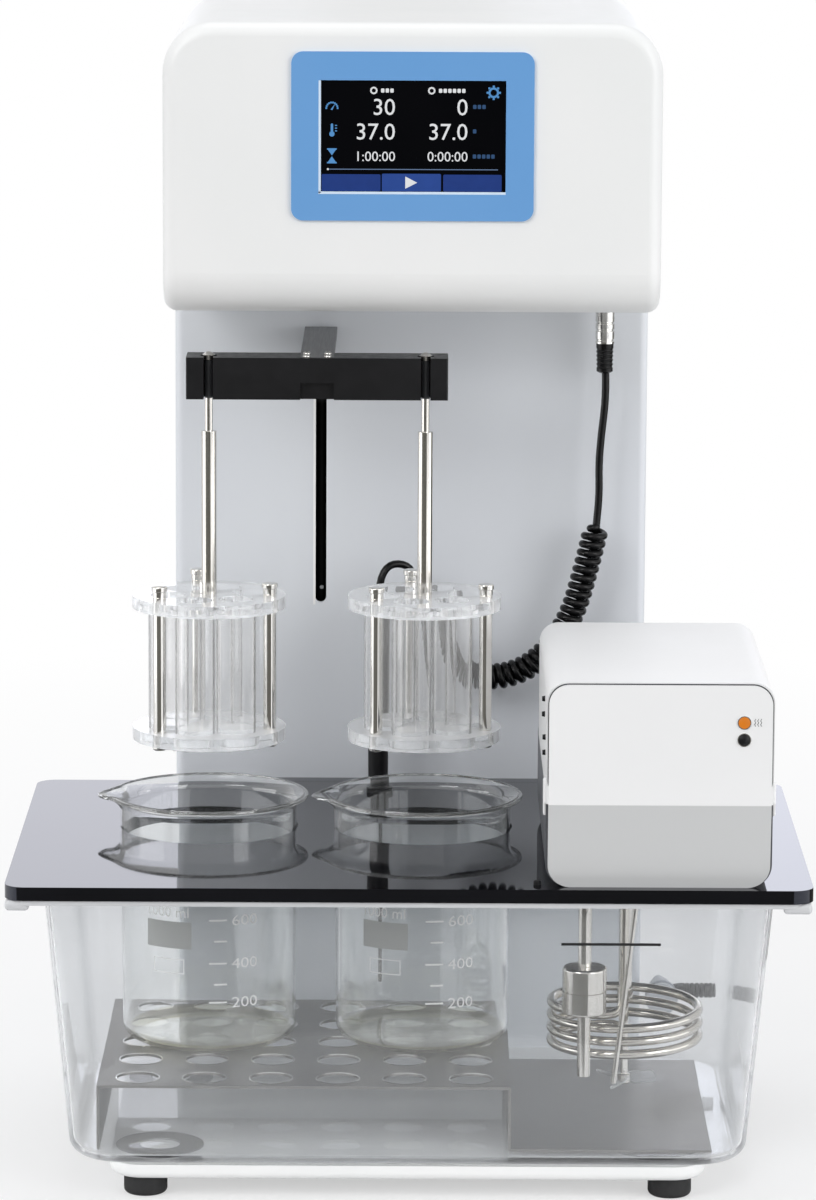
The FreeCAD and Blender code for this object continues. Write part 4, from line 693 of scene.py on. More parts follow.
TICKS = {147.9: "600", 135.1: None, 121.6: "400", 108.7: None, 97.7: "200"}
PRINT_RADIUS = BEAKER_RADIUS + 0.06
LEFT, LOW, RIGHT, HIGH = -34.0, 114.6, -13.5, 123.7
THIN = 0.5
BOX = ((LEFT, LOW, RIGHT, LOW + THIN), (LEFT, HIGH - THIN, RIGHT, HIGH),
       (LEFT, LOW, LEFT + THIN, HIGH), (RIGHT - THIN, LOW, RIGHT, HIGH))
for side, x in RACK_X.items():
    shape = bmesh.new()
    for height, number in TICKS.items():
        patch(shape, 1.5 if number else 4.5, height - 0.55, 12.3, height + 0.55)
        if number:
            add_lettering(shape, number, 6.6, (15.0, 0, height - 3.3), "LEFT", 1.25)
    add_lettering(shape, "1000 ml", 6.6, (-25.0, 0, 149.2))
    for corners in BOX:
        patch(shape, *corners)
    wrap(shape, (x, WORK_Y), PRINT_RADIUS)
    finished(f"{side}_beaker_scale", shape, WHITE_ENAMEL_AND_EDGE_HIGHLIGHT, f"{side}_vessel")
    shape = bmesh.new()
    patch(shape, -39.0, 130.0, -9.0, 146.4)
    wrap(shape, (x, WORK_Y), PRINT_RADIUS)
    finished(f"{side}_beaker_patch", shape, GREY_ENAMEL, f"{side}_vessel")

# %% [markdown]
# The racks' posts. Each post is a bright rod with a shoulder nut and a round cap above
# the upper plate and a domed screw head under the lower plate. One outline from the
# bottom to the top gives all of it, spun three times on each rack.

# %% Posts with cap nuts
PLATE_TOP = heights("left_upper_plate")[1]
PLATE_LOW = heights("left_lower_plate")[0]
POST_RING = 38.5


def post_outline():
    top, low = PLATE_TOP, PLATE_LOW - 0.6
    outline = [(0, low - 2.4)] + arc((2.85, low - 1.0), 1.4, -90, 0, 4) + [(4.25, low)]
    outline += [(2.5, low + 0.1), (2.5, low + 8.1), (3.85, low + 8.1)]
    outline += [(3.85, top - 7.55), (2.5, top - 7.5), (2.5, top), (4.0, top), (4.0, top + 1.6)]
    outline += [(3.7, top + 1.9), (4.1, top + 2.2), (4.1, top + 5.4), (4.75, top + 5.9), (4.75, top + 8.0)]
    outline += arc((3.9, top + 8.0), 0.85, 10, 80, 3) + [(0, top + 9.3)]
    return outline


for side, x in RACK_X.items():
    shape = bmesh.new()
    for number in range(3):
        turn = math.radians(-18 + 120 * number)
        place = (x + POST_RING * math.cos(turn), WORK_Y + POST_RING * math.sin(turn))
        lathe(shape, post_outline(), place, 24)
    finished(f"{side}_rack_posts", shape, BRIGHT, f"{side}_rack", [f"{side}_posts"])

# %% [markdown]
# The woven mesh under each rack. Two sets of wires cross at right angles, and each rises
# and dips over its neighbours. One wire is a bar cut into short lengths whose points
# follow a wave; the wires end at the edge of a disc.

# %% Woven mesh
MESH_RADIUS = 43.9
MESH_PITCH = 2.6
MESH_WAVE = 0.1
WIRE = 0.5
WIRE_DEEP = 0.25 * MM
MESH_HEIGHT = PLATE_LOW - 0.45


def weave(shape, middle):
    count = int(MESH_RADIUS / MESH_PITCH)
    for along in (0, 1):
        for row in range(-count, count + 1):
            off = row * MESH_PITCH
            half = math.sqrt(max(MESH_RADIUS ** 2 - off ** 2, 0))
            start = len(shape.verts)
            cuts = max(2, round(4 * half / MESH_PITCH))
            bmesh.ops.create_grid(shape, x_segments=cuts, y_segments=1, size=0.5)
            shape.verts.ensure_lookup_table()
            for vertex in shape.verts[start:]:
                run, wide = vertex.co.x * 2 * half, vertex.co.y * WIRE
                wave = math.sin(math.pi * run / MESH_PITCH + math.pi * (row + along))
                place = (run, off + wide) if along == 0 else (off + wide, run)
                vertex.co = Vector((middle[0] + place[0], middle[1] + place[1],
                                    MESH_HEIGHT + MESH_WAVE * wave)) * MM
    bmesh.ops.solidify(shape, geom=shape.faces[:], thickness=WIRE_DEEP)


for side, x in RACK_X.items():
    shape = bmesh.new()
    weave(shape, (x, WORK_Y))
    finished(f"{side}_woven_mesh", shape, NICKEL, f"{side}_rack", [f"{side}_wire_mesh"])

# %% [markdown]
# Small bright parts on the crossbar: the domed heads that the racks hang by, and four
# button-head screws with a socket that hold the arm.

# %% Heads and screws on the crossbar
BAR_LOW, BAR_TOP = heights("crossbar")
for side, x in RACK_X.items():
    shape = bmesh.new()
    low = heights(f"{side}_hanger_rod")[1] - 1.2
    lathe(shape, [(0, low), (3.9, low)] + arc((0, low - 1), 4.0, 15, 90, 7), (x, WORK_Y), 32)
    finished(f"{side}_hanger_dome", shape, BRIGHT, f"{side}_rack")
shape = bmesh.new()
screw = [(0, -8), (1.4, -8), (1.4, 0), (2.3, 0)] + arc((0.9, 0), 1.5, 10, 80, 4)
screw = [(radius, BAR_TOP + high) for radius, high in screw + [(0.8, 1.5), (0.8, 0.5), (0, 0.5)]]
for x in (WORK_X - 6.3, WORK_X + 6.3):
    for y in (-34.5, -21.5):
        lathe(shape, screw, (x, y), 20)
finished("arm_button_screws", shape, BRIGHT, "lift", ["arm_screws"])

# %% Dark sleeves of the hangers inside the bar
for side, x in RACK_X.items():
    shape = bmesh.new()
    stick(shape, (x, WORK_Y, BAR_LOW - 0.4), (x, WORK_Y, BAR_TOP - 1.2), 5.1, 32)
    finished(f"{side}_hanger_sleeve", shape, SLEEVE_GREY, f"{side}_rack")

# %% [markdown]
# A thin white strip along the left side of the column's slot is a painted highlight: the light
# caught on the slot's edge, which gives the slot a crisp edge. A small guide pin shows at the slot's foot.

# %% Painted highlight on the slot's edge, and pin
column_low, column_high = box_mm("column_shell")
front = column_low[1]
shape = bmesh.new()
block(shape, (-60.7, front - 0.15, 305.5), (-59.2, front + 0.5, 477.5))
finished("slot_edge_highlight", shape, WHITE_ENAMEL_AND_EDGE_HIGHLIGHT)
shape = bmesh.new()
stick(shape, (WORK_X + 0.6, front + 4.5, 316), (WORK_X + 0.6, front + 3.2, 316), 2.4, 20)
finished("slot_pin", shape, GREY_METAL)

# %% [markdown]
# The probe's plug is a nickel sleeve with three grooves over a ribbed black boot. Both are
# turned parts on one upright axis, and the boot tapers down to the lead.

# %% Plug and boot
PLUG = LEAD_TOP[0][:2]
SLEEVE_TOP = heights("probe_socket")[0]
SLEEVE_LOW = 474.0
shape = bmesh.new()
sleeve = [(0, SLEEVE_TOP + 5), (4.4, SLEEVE_TOP + 5), (4.4, SLEEVE_TOP), (5.8, SLEEVE_TOP)]
for high in (487.5, 483.0, 476.8):
    sleeve += [(5.85, high), (5.3, high - 0.5), (5.3, high - 1.1), (5.85, high - 1.6)]
lathe(shape, sleeve + [(5.8, SLEEVE_LOW), (0, SLEEVE_LOW)], PLUG, 40)
finished("plug_sleeve", shape, NICKEL, "stand", ["probe_plug"])
shape = bmesh.new()
boot = [(0, SLEEVE_LOW + 0.5), (5.3, SLEEVE_LOW + 0.5), (5.4, SLEEVE_LOW)]
for step in range(5):
    high, wide = SLEEVE_LOW - 3.0 - 2.6 * step, 5.3 - 0.06 * step
    boot += [(wide, high), (wide - 0.4, high - 0.6), (wide - 0.4, high - 1.3), (wide, high - 1.9)]
boot += [(5.0, SLEEVE_LOW - 17.4), (3.4, SLEEVE_LOW - 18.4), (0, SLEEVE_LOW - 18.4)]
lathe(shape, boot, PLUG, 32)
finished("plug_boot", shape, CABLE)

# %% [markdown]
# The heater unit's small parts: a dark strip round the front panel, which is painted shade in
# the gap there, latches on both sides that hold the hood down, four screws on the left side,
# two lamps in their rings and a small heat sign.

# %% Painted gap shade round the panel, latches and lamps
unit_low, unit_high = box_mm("heater_hood")
panel_low, panel_high = box_mm("heater_panel")
base_low, base_high = box_mm("heater_base")
PANEL_FRONT = panel_low[1]
# A dark strip behind the panel's edge is the painted shade in the gap round the front panel.
shape = bmesh.new()
block(shape, (panel_low[0] - 0.5, PANEL_FRONT + 1.6, unit_low[2] + 2),
      (panel_high[0] + 0.5, PANEL_FRONT + 2.45, panel_high[2] + 0.6), 11.8, 1, 8)
finished("panel_gap_shade", shape, DARK_PLASTIC_AND_GAP_SHADE)
shape = bmesh.new()
block(shape, (panel_low[0] - 1.3, base_low[1], base_low[2]),
      (panel_high[0] + 1.3, base_high[1], base_high[2] + 14), 12.8, 1, 8)
finished("round_unit_base", shape, UNIT_BASE, "stand", ["heater_base"])
shape = bmesh.new()
for x, way in ((unit_low[0], -1), (unit_high[0], 1)):
    near, far = sorted((x - 0.4 * way, x + 1.6 * way))
    for start, end, low, high, soft in ((6, 20, 243.5, 256.5, 1.0), (9, 17, 236.5, 244.5, 0.8)):
        block(shape, (near, PANEL_FRONT + start, low), (far, PANEL_FRONT + end, high), soft, None, 3)
finished("unit_latches", shape, UNIT_WHITE)
shape = bmesh.new()
for y, height in ((-150, 297), (-150, 288), (-168, 278), (-168, 269)):
    stick(shape, (unit_low[0] + 0.3, y, height), (unit_low[0] - 1.8, y, height), 3.6, 16, 2.8)
finished("side_screws", shape, BLACK_PLASTIC_AND_VENT_SHADE)

# %% Lamps and heat sign
LAMP_X = 190.7
HEATING_Z, ALARM_Z = 293.0, 283.0


def lamp_turn(shape, outline, height):
    """Spin an outline about the axis of the lamp at that height, out of the panel."""
    facing = Matrix.Translation(Vector((LAMP_X, PANEL_FRONT + 0.1, height)) * MM) @ FORWARD
    lathe(shape, outline, (0, 0), 32, facing)


DOME = [(0, 0), (3.4, 0), (3.4, 0.7)] + arc((0, -3.9), 5.7, 55, 90, 5)
for name, height, finish, hidden in (("heating_lamp", HEATING_Z, AMBER, ["indicator_lamps"]),
                                     ("alarm_lamp", ALARM_Z, BLACK_PLASTIC_AND_VENT_SHADE, ())):
    shape = bmesh.new()
    lamp_turn(shape, DOME, height)
    finished(name, shape, finish, "stand", hidden)
shape = bmesh.new()
for height in (HEATING_Z, ALARM_Z):
    lamp_turn(shape, [(3.4, 0), (3.4, 0.8), (3.9, 0.8), (3.9, 0), (3.4, 0)], height)
finished("lamp_rings", shape, NICKEL)
shape = bmesh.new()
for number in range(3):
    for step in range(4):
        swing = 0.35 if step % 2 else -0.35
        x, low = LAMP_X + 6.1 + 1.7 * number, HEATING_Z - 2.2 + 1.1 * step
        stick(shape, (x - swing, PANEL_FRONT - 0.02, low), (x + swing, PANEL_FRONT - 0.02, low + 1.15),
              0.3, 6)
finished("heat_sign", shape, DARK_PLASTIC_AND_GAP_SHADE)

# %% [markdown]
# The touch screen's picture. Rows of figures, small signs and three blue buttons lie
# just in front of the black glass, and glow evenly as a lit screen does.

# %% Screen picture
GLASS_FRONT = box_mm("touch_screen")[0][1] - 0.06


def screen_patch(shape, left, low, right, high, soft=0.0):
    block(shape, (left, GLASS_FRONT - 0.02, low), (right, GLASS_FRONT + 0.02, high), soft, 1, 3)


def screen_dot(shape, x, z, size):
    screen_patch(shape, x - size / 2, z - size / 2, x + size / 2, z + size / 2, size / 5)


def dot_ring(shape, middle, radius, size, count, step):
    """Dots on a circle, counted from its right, each some degrees after the last."""
    for number in range(count):
        turn = math.radians(step * number)
        screen_dot(shape, middle[0] + radius * math.cos(turn), middle[1] + radius * math.sin(turn), size)


def marks(shape, start, height, count):
    """A row of short marks where words would stand."""
    for number in range(count):
        left = start + 2.7 * number
        screen_patch(shape, left, height - 1.2, left + 2.0, height + 1.2, 0.5)


def screen_corners(shape, corners):
    """A flat plate in front of the glass with the given (X, Z) corners."""
    made = [shape.verts.new(Vector((x, GLASS_FRONT - 0.03, z)) * MM) for x, z in corners]
    bmesh.ops.contextual_create(shape, geom=made)


BUTTONS = {
    "side_buttons": (LIT_BUTTON, 0.8, ((-53.2, 581.6, -18.7, 591.6), (18.0, 581.6, 52.2, 591.6))),
    "play_button": (LIT_PLAY, 0.8, ((-17.9, 581.6, 16.7, 592.0),)),
    "progress_line": (LIT_LINE, 0.0, ((-49.5, 594.3, 50.0, 594.75),)),
}
for name, (finish, soft, patches) in BUTTONS.items():
    shape = bmesh.new()
    for corners in patches:
        screen_patch(shape, *corners, soft)
    finished(name, shape, finish)

# %% Screen figures
HEAD_ROW = 640.6
ROWS = ((631.3, 9.9, "30", "0"), (616.9, 9.9, "37.0", "37.0"), (602.3, 5.9, "1:00:00", "0:00:00"))
shape = bmesh.new()
for height, tall, wanted, actual in ROWS:
    for figures, right in ((wanted, -10.0), (actual, 32.4)):
        add_lettering(shape, figures, tall, (right, GLASS_FRONT, height - tall / 2), "RIGHT")
for start, count in ((-18.6, 3), (15.2, 6)):
    marks(shape, start, HEAD_ROW, count)
    dot_ring(shape, (start - 4.2, HEAD_ROW), 1.7, 0.95, 12, 30)
screen_dot(shape, -49.5, 594.5, 1.1)
screen_corners(shape, ((-4.2, 583.2), (-4.2, 590.4), (2.8, 586.8)))
finished("screen_figures", shape, LIT_WHITE)

# %% Screen signs: gear, rate dial, thermometer and sand glass
GEAR = (47.2, 639.6)
shape = bmesh.new()
dot_ring(shape, GEAR, 2.5, 1.2, 16, 22.5)
dot_ring(shape, GEAR, 3.6, 1.2, 8, 45)
dot_ring(shape, (-47.2, 630.2), 3.3, 1.0, 10, 20)
screen_corners(shape, ((-48.0, 629.4), (-47.0, 629.0), (-45.2, 633.0)))
screen_patch(shape, -47.9, 615.8, -46.5, 621.2, 0.6)
screen_patch(shape, -48.7, 613.6, -45.7, 616.6, 1.3)
for height in (616.6, 618.2, 619.8):
    screen_patch(shape, -45.4, height, -44.2, height + 0.6)
for low, high in ((606.0, 602.6), (598.6, 602.0)):
    screen_corners(shape, ((-49.6, low), (-44.8, low), (-47.2, high)))
for low in (605.9, 597.9):
    screen_patch(shape, -50.0, low, -44.4, low + 0.8)
finished("screen_signs", shape, LIT_BLUE)
shape = bmesh.new()
for height, count in ((631.3, 3), (617.0, 1), (602.3, 5)):
    marks(shape, 35.2, height, count)
finished("screen_units", shape, LIT_DIM)

# %% Painted highlight along the lower and left edges of the glass
bezel_front = box_mm("bezel")[0][1]
shape = bmesh.new()
for left, low, right, high in ((-55.0, 580.1, 54.6, 581.6), (-55.0, 580.6, -53.6, 646.5)):
    block(shape, (left, bezel_front - 0.08, low), (right, bezel_front + 0.1, high), 0.06, None, 1)
finished("glass_edge_highlight", shape, EDGE)

# %% [markdown]
# The bath's fittings. The float is a bright drum with a seam round its middle. The
# stirrer has a clear three-blade impeller. The heater is a bright tube of three and a
# half turns: its route is a spiral of control points with a leg at each end.

# %% Float
FLOAT_LOW, FLOAT_TOP = heights("level_float")
FLOAT_AT = (103.0, -141.0)
FLOAT_RADIUS = 13.0
shape = bmesh.new()
middle = (FLOAT_LOW + FLOAT_TOP) / 2
drum = [(4.3, FLOAT_LOW + 2.4), (6.1, FLOAT_LOW + 2.4), (6.1, FLOAT_LOW), (11.4, FLOAT_LOW)]
drum += arc((FLOAT_RADIUS - 1.4, FLOAT_LOW + 1.4), 1.4, -80, 0, 5)
drum += [(FLOAT_RADIUS, middle - 0.75), (12.3, middle - 0.5), (12.3, middle + 0.5)]
drum += [(FLOAT_RADIUS, middle + 0.75)] + arc((FLOAT_RADIUS - 1.8, FLOAT_TOP - 1.8), 1.8, 0, 80, 5)
drum += [(5.4, FLOAT_TOP), (4.3, FLOAT_TOP), (4.3, FLOAT_LOW + 2.4)]
lathe(shape, drum, FLOAT_AT, 64)
finished("bright_float", shape, STEEL, "float", ["level_float"])

# %% Impeller
STIR_X, STIR_Y = 129.0, -86.0
BLADE_PITCH = 28
SHAFT_LOW, SHAFT_TOP = heights("impeller")
shape = bmesh.new()
lathe(shape, [(0, SHAFT_LOW), (3.0, SHAFT_LOW), (3.7, SHAFT_LOW + 0.7), (3.7, SHAFT_LOW + 5.4),
              (3.1, SHAFT_LOW + 6), (2.2, SHAFT_LOW + 6), (2.2, SHAFT_TOP), (0, SHAFT_TOP)],
      (STIR_X, STIR_Y), 32)
finished("stirrer_shaft", shape, STEEL, "stirrer", ["impeller"])
shape = bmesh.new()
hub = Matrix.Translation(Vector((0, 0, SHAFT_LOW + 3.1)) * MM)
pitch = hub @ Matrix.Rotation(math.radians(BLADE_PITCH), 4, "X") @ hub.inverted()
for number in range(3):
    start = len(shape.verts)
    block(shape, (3.0, -5.0, SHAFT_LOW + 2.6), (19.6, 5.0, SHAFT_LOW + 3.6), 2.6, 2, 5)
    shape.verts.ensure_lookup_table()
    turn = Matrix.Rotation(math.radians(120 * number + 15), 4, "Z")
    bmesh.ops.transform(shape, verts=shape.verts[start:],
                        matrix=Matrix.Translation(Vector((STIR_X, STIR_Y, 0)) * MM) @ turn @ pitch)
finished("impeller_blades", shape, CLEAR_BLADE, "stirrer")

# %% Heater coil
COIL_RING = 44.2
COIL_TUBE = 5.6
COIL_LOW = 76.0
COIL_PITCH = 7.84
COIL_TURNS = 3.5
COIL_SIDES = 24
coil = [(STIR_X + 1, STIR_Y + 34, height) for height in (193, 150, 100, 84)]
coil.append((STIR_X + 1, STIR_Y + 37, COIL_LOW - 1))
for step in range(int(COIL_TURNS * COIL_SIDES) - 1):
    turn = math.radians(96 + 360 / COIL_SIDES * step)
    coil.append((STIR_X + COIL_RING * math.cos(turn), STIR_Y + COIL_RING * math.sin(turn),
                 COIL_LOW + COIL_PITCH * step / COIL_SIDES))
_, end_y, end_z = coil[-1]
coil.append((STIR_X - 4, end_y + 0.3, end_z + 1))
coil += [(STIR_X - 2.2, end_y + 1.5, height) for height in (end_z + 12, 150, 193)]
coil_mesh = mesh_of(spline_curve("coil_tube", [Vector(p) * MM for p in coil], COIL_TUBE * MM))
shape = bmesh.new()
shape.from_mesh(coil_mesh)
bpy.data.meshes.remove(coil_mesh)
bmesh.ops.remove_doubles(shape, verts=shape.verts, dist=WELD)
finished("bright_coil", shape, COIL, "stand", ["heater_coil"])

# %% Ribbed tap knob
knob_low, knob_high = box_mm("drain_knob")
long = knob_high[0] - knob_low[0]
rib = [(0, 0), (3.4, 0), (3.9, 0.6)]
for start in range(6, 27, 3):
    rib += [(4.7, start), (4.7, start + 1.6), (4.0, start + 2.0), (4.0, start + 2.6)]
rib += [(4.7, long - 0.8), (4.1, long), (0, long)]
start = Vector((knob_low[0], (knob_low[1] + knob_high[1]) / 2, (knob_low[2] + knob_high[2]) / 2))
shape = bmesh.new()
lathe(shape, rib, (0, 0), 32, Matrix.Translation(start * MM) @ Matrix.Rotation(math.radians(90), 4, "Y"))
finished("ribbed_knob", shape, DARK_PLASTIC_AND_GAP_SHADE, "tap_knob", ["drain_knob"])

# %% [markdown]
# The tank's trim and marks. A light edge runs round the tank's rim under the lid, with
# soft corner lips, and a black water line is printed on the front wall, which leans by
# the tank's draft.

# %% Rim trim
lid_low, lid_high = box_mm("bath_lid")
shape = bmesh.new()
block(shape, (lid_low[0] + 1.0, lid_low[1] + 1.0, lid_low[2] - 3.0),
      (lid_high[0] - 1.0, lid_high[1] - 1.0, lid_low[2] - 0.1), 12.0, 2, 8)
flat = [face for face in shape.faces if abs(face.normal.z) > 0.9]
bmesh.ops.delete(shape, geom=flat, context="FACES_ONLY")
bmesh.ops.recalc_face_normals(shape, faces=shape.faces)
bmesh.ops.solidify(shape, geom=shape.faces[:], thickness=0.45 * MM)
finished("rim_trim", shape, TRIM)

# %% Base plate and feet with rounded corners
FOOT_RADIUS = 12.8
FOOT_INSET = 13
stand_low, stand_high = box_mm("base_plate")
foot_low, foot_high = box_mm("rubber_feet")
shape = bmesh.new()
block(shape, stand_low, stand_high, 20.0, 2, 10)
under = [edge for edge in shape.edges if all(v.co.z < (stand_low[2] + 0.1) * MM for v in edge.verts)]
bmesh.ops.bevel(shape, geom=under, offset=5.0 * MM, offset_type="OFFSET", segments=5, profile=0.5,
                affect="EDGES", material=-1)
finished("round_base_plate", shape, WHITE, "stand", ["base_plate"])
shape = bmesh.new()
foot = [(0, 0), (9.8, 0)] + arc((9.8, 3.0), 3.0, -80, 0, 5)
foot += [(FOOT_RADIUS, foot_high[2]), (0, foot_high[2])]
for x in (foot_low[0] + FOOT_INSET, foot_high[0] - FOOT_INSET):
    for y in (foot_low[1] + FOOT_INSET, foot_high[1] - FOOT_INSET):
        lathe(shape, foot, (x, y), 40)
finished("round_feet", shape, RUBBER, "stand", ["rubber_feet"])

# %% Dark glossy strip between the lid's back edge and the column
shape = bmesh.new()
block(shape, (column_low[0] + 1.0, lid_high[1] - 3.0, lid_low[2] + 0.4),
      (column_high[0] - 1.0, column_low[1] + 0.3, lid_high[2] + 0.05), 0.4, None, 2)
finished("dark_strip_to_column", shape, LID)

# %% Corner lips
shape = bmesh.new()
for left, right in ((lid_low[0] + 0.4, lid_low[0] + 14.5), (lid_high[0] - 17.5, lid_high[0] - 1.0)):
    block(shape, (left, lid_low[1] + 1.2, lid_low[2] - 6.4),
          (right, lid_low[1] + 14, lid_low[2] - 0.3), 2.4, None, 4)
finished("corner_lips", shape, TRIM)

# %% Water line on the front wall
TANK_FRONT_LOW = -170.26
TANK_LOW = 22.0
TANK_DRAFT = math.radians(5)
shape = bmesh.new()
block(shape, (88.0, -0.05, 158.2), (145.5, 0.05, 159.8))
for vertex in shape.verts:
    lean = (vertex.co.z / MM - TANK_LOW) * math.tan(TANK_DRAFT)
    vertex.co.y += (TANK_FRONT_LOW - lean - 0.12) * MM
finished("water_line", shape, INK)

# %% Pin on the lid and bright rims of the tray's holes
TRAY_COLUMNS, TRAY_ROWS = 6, 5
TRAY_PITCH = (39.3, 42.5)
DECK_MIDDLE = (-61.06, -46.55)
HOLE = 12.5
shape = bmesh.new()
top = lid_high[2]
lathe(shape, [(0, top - 0.5), (2.2, top - 0.5), (2.2, top + 1.6)]
      + arc((1.4, top + 1.6), 0.8, 0, 90, 4) + [(0, top + 2.4)], (73.7, -185.5), 24)
finished("lid_pin", shape, BLACK_PLASTIC_AND_VENT_SHADE)
rim = [(HOLE, 64.9), (HOLE, 65.25), (HOLE + 0.5, 65.25), (HOLE + 0.8, 64.9), (HOLE, 64.9)]
shape = bmesh.new()
for column in range(TRAY_COLUMNS):
    for row in range(TRAY_ROWS):
        lathe(shape, rim, (DECK_MIDDLE[0] + (column - (TRAY_COLUMNS - 1) / 2) * TRAY_PITCH[0],
                           DECK_MIDDLE[1] + (row - (TRAY_ROWS - 1) / 2) * TRAY_PITCH[1]), 24)
finished("tray_hole_rims", shape, BRIGHT)

# %% [markdown]
# The back. The mains inlet gets its three pins, and the rear cover six rows of vent slots,
# drawn as black patches whose dark is the painted shade inside them.

# %% Inlet pins and vents
inlet_back = box_mm("mains_inlet")[1][1]
shape = bmesh.new()
for x, z in ((49.0, 209.0), (63.0, 209.0), (56.0, 203.5)):
    block(shape, (x - 1.0, inlet_back - 15.5, z - 2.0), (x + 1.0, inlet_back - 5.0, z + 2.0), 0.4, None, 2)
finished("inlet_pins", shape, NICKEL)
cover_back = box_mm("rear_cover")[1][1]
# Black patches where the slots open: painted shade inside the vent slots.
shape = bmesh.new()
for low in range(560, 606, 9):
    for x in (-70, -30, 30, 70):
        block(shape, (x - 15, cover_back - 0.4, low), (x + 15, cover_back + 0.05, low + 3), 1.4, 1, 4)
finished("rear_vent_shade", shape, BLACK_PLASTIC_AND_VENT_SHADE)

# %% [markdown]
# The stage: a plain pale floor, soft lamps and an even white surround. The surround is
# white only to the camera, a little darker in mirrors, and lights the machine gently. The
# floor turns into pure white away from the machine, as a paper sweep does. Dark cards lie
# on the floor in front and on the left and soften the light that comes up from it. Two
# fans spread out from the machine, and polished rods mirror them as straight dark bands.
# All are hidden from the camera, cast no shadow and are clear from below.

# %% Floor
FLOOR_RADIUS = 12.0
CARD_HEIGHT = 0.002
FAN_HEIGHT = 0.003
shape = bmesh.new()
bmesh.ops.create_circle(shape, cap_ends=True, segments=96, radius=FLOOR_RADIUS)
floor_material, tree, shader = new_material("pale_floor")
tint(tree, shader, noise(tree, 0.4), colour("F4F4F4"), colour("F7F7F7"))
give(shader, Roughness=0.7)
glow = add(tree, "Emission", Color=(1, 1, 1, 1))
rays = add(tree, "LightPath")
place = add(tree, "TexCoord")
away = add(tree, "VectorMath")
away.operation = "LENGTH"
sweep = add(tree, "MapRange", From_Min=0.35, From_Max=1.6, To_Min=0.5, To_Max=1.0)
share = add(tree, "Math")
share.operation = "MULTIPLY"
show(tree, mixed(tree, share, 0, shader, glow))
wire(tree, (place, "Object", away, 0), (away, "Value", sweep, "Value"),
     (rays, "Is Camera Ray", share, 0), (sweep, "Result", share, 1))
floor = placed("floor", shape, floor_material)
print("floor is down")

# %% Dark cards on the floor
card_material = moulded("grey_card", "4C4A44", "54524B", 0.9, depth=0.1 * MM)
tree = card_material.node_tree
side = add(tree, "NewGeometry")
clear_under = add(tree, "BsdfTransparent")
show(tree, mixed(tree, side, "Backfacing", shader_of(card_material), clear_under))


def lay_card(name, shape, **seen_by):
    """Put a card on the floor: hidden from the camera, with no shadow, seen only as told."""
    card = placed(name, shape, card_material)
    card.visible_camera = card.visible_shadow = False
    for kind in ("diffuse", "glossy", "transmission"):
        setattr(card, "visible_" + kind, seen_by.get(kind, False))


CARDS = {"near_card": ((-0.45, -1.2), (3.5, 1.5)), "side_card": ((-1.5, -0.1), (1.4, 0.7)),
         "far_card": ((-2.2, -2.98), (4.6, 2.06)), "left_card": ((-3.35, -0.68), (2.3, 2.55))}
for name, (place, size) in CARDS.items():
    shape = bmesh.new()
    spread = Matrix.Translation((*place, CARD_HEIGHT)) @ Matrix.Diagonal((*size, 1, 1))
    bmesh.ops.create_grid(shape, x_segments=1, y_segments=1, size=0.5, matrix=spread)
    lay_card(name, shape, diffuse=True)

# %% Fans that polished metal mirrors
FANS = {"front_fan": ((-48, 22), (0.4, 4.4)), "back_fan": ((92, 150), (0.5, 4.4))}
for name, (turns, reach) in FANS.items():
    shape = bmesh.new()
    bmesh.ops.create_grid(shape, x_segments=24, y_segments=1, size=0.5)
    for vertex in shape.verts:
        turn = math.radians(turns[0] + (turns[1] - turns[0]) * (vertex.co.x + 0.5))
        radius = reach[0] + (reach[1] - reach[0]) * (0.5 - vertex.co.y)
        vertex.co = (radius * math.sin(turn), -radius * math.cos(turn), FAN_HEIGHT)
    lay_card(name, shape, glossy=True, transmission=name == "front_fan")
print("cards are down")

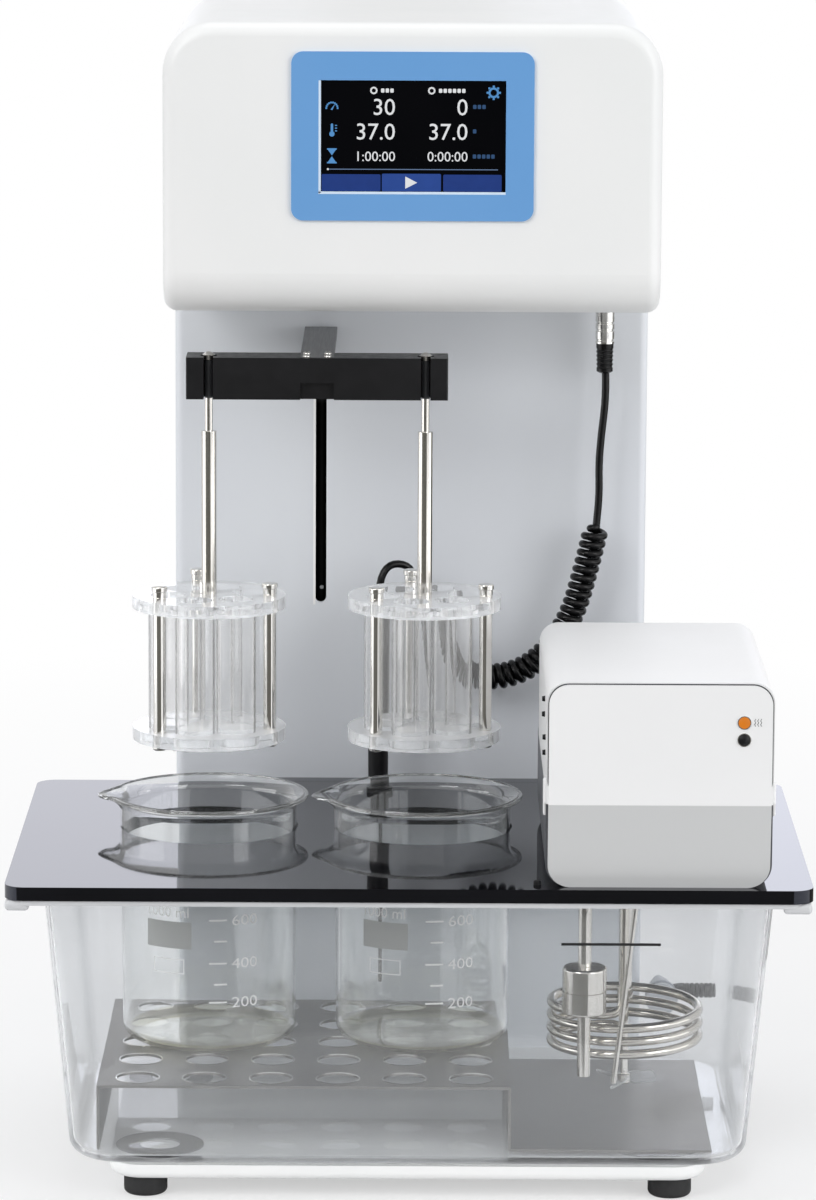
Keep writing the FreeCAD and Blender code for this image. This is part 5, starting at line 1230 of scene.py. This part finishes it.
# %% World
world = bpy.data.worlds.new("surround")
world.use_nodes = True
scene.world = world
tree = world.node_tree
soft = tree.nodes["Background"]
give(soft, Color=colour("FBFCFF"), Strength=0.62)
pale = add(tree, "Background", Color=(0.8, 0.8, 0.8, 1))
white = add(tree, "Background", Color=(1, 1, 1, 1))
rays = add(tree, "LightPath")
mirrored = add(tree, "Math")
mirrored.operation = "MAXIMUM"
surround = mixed(tree, mirrored, 0, soft, pale)
show(tree, mixed(tree, rays, "Is Camera Ray", surround, white), "World Output")
wire(tree, (rays, "Is Glossy Ray", mirrored, 0), (rays, "Is Transmission Ray", mirrored, 1))
print("surround is lit")

# %% Lamps


def soft_lamp(name, place, aim, size, power, tone="FFFFFF"):
    """A rectangular soft box in metres, turned to face the aim."""
    data = bpy.data.lights.new(name, "AREA")
    data.shape = "RECTANGLE"
    data.size, data.size_y = size
    data.energy = power
    data.color = colour(tone)[:3]
    lamp = bpy.data.objects.new(name, data)
    scene.collection.objects.link(lamp)
    lamp.location = place
    lamp.rotation_euler = (Vector(aim) - Vector(place)).to_track_quat("-Z", "Y").to_euler()


soft_lamp("key_soft_box", (-1.6, -2.2, 1.9), (0, 0, 0.4), (1.4, 1.4), 32)
soft_lamp("fill_soft_box", (2.0, -1.8, 1.0), (0, 0, 0.25), (1.6, 1.6), 23)
soft_lamp("top_soft_box", (0.0, 0.3, 5.0), (0, 0, 0.3), (2.6, 2.6), 34)
soft_lamp("left_side_soft_box", (-1.3, -0.2, 0.3), (0, 0, 0.12), (0.9, 0.5), 2.6)
soft_lamp("right_side_soft_box", (1.4, -0.2, 0.3), (0, 0, 0.12), (0.9, 0.5), 1.8)
soft_lamp("left_back_soft_box", (-0.75, 3.0, 0.8), (-0.1, 0, 0.2), (1.3, 0.44), 1.9, "ECEEFC")
soft_lamp("right_back_soft_box", (0.75, 3.0, 0.8), (0.1, 0, 0.2), (1.3, 0.44), 3.2, "E6E9F8")
print("lamps:", len(bpy.data.lights))

# %% [markdown]
# Colours are shown plainly, with no film look.

# %% Finish
scene.view_settings.view_transform = "Standard"
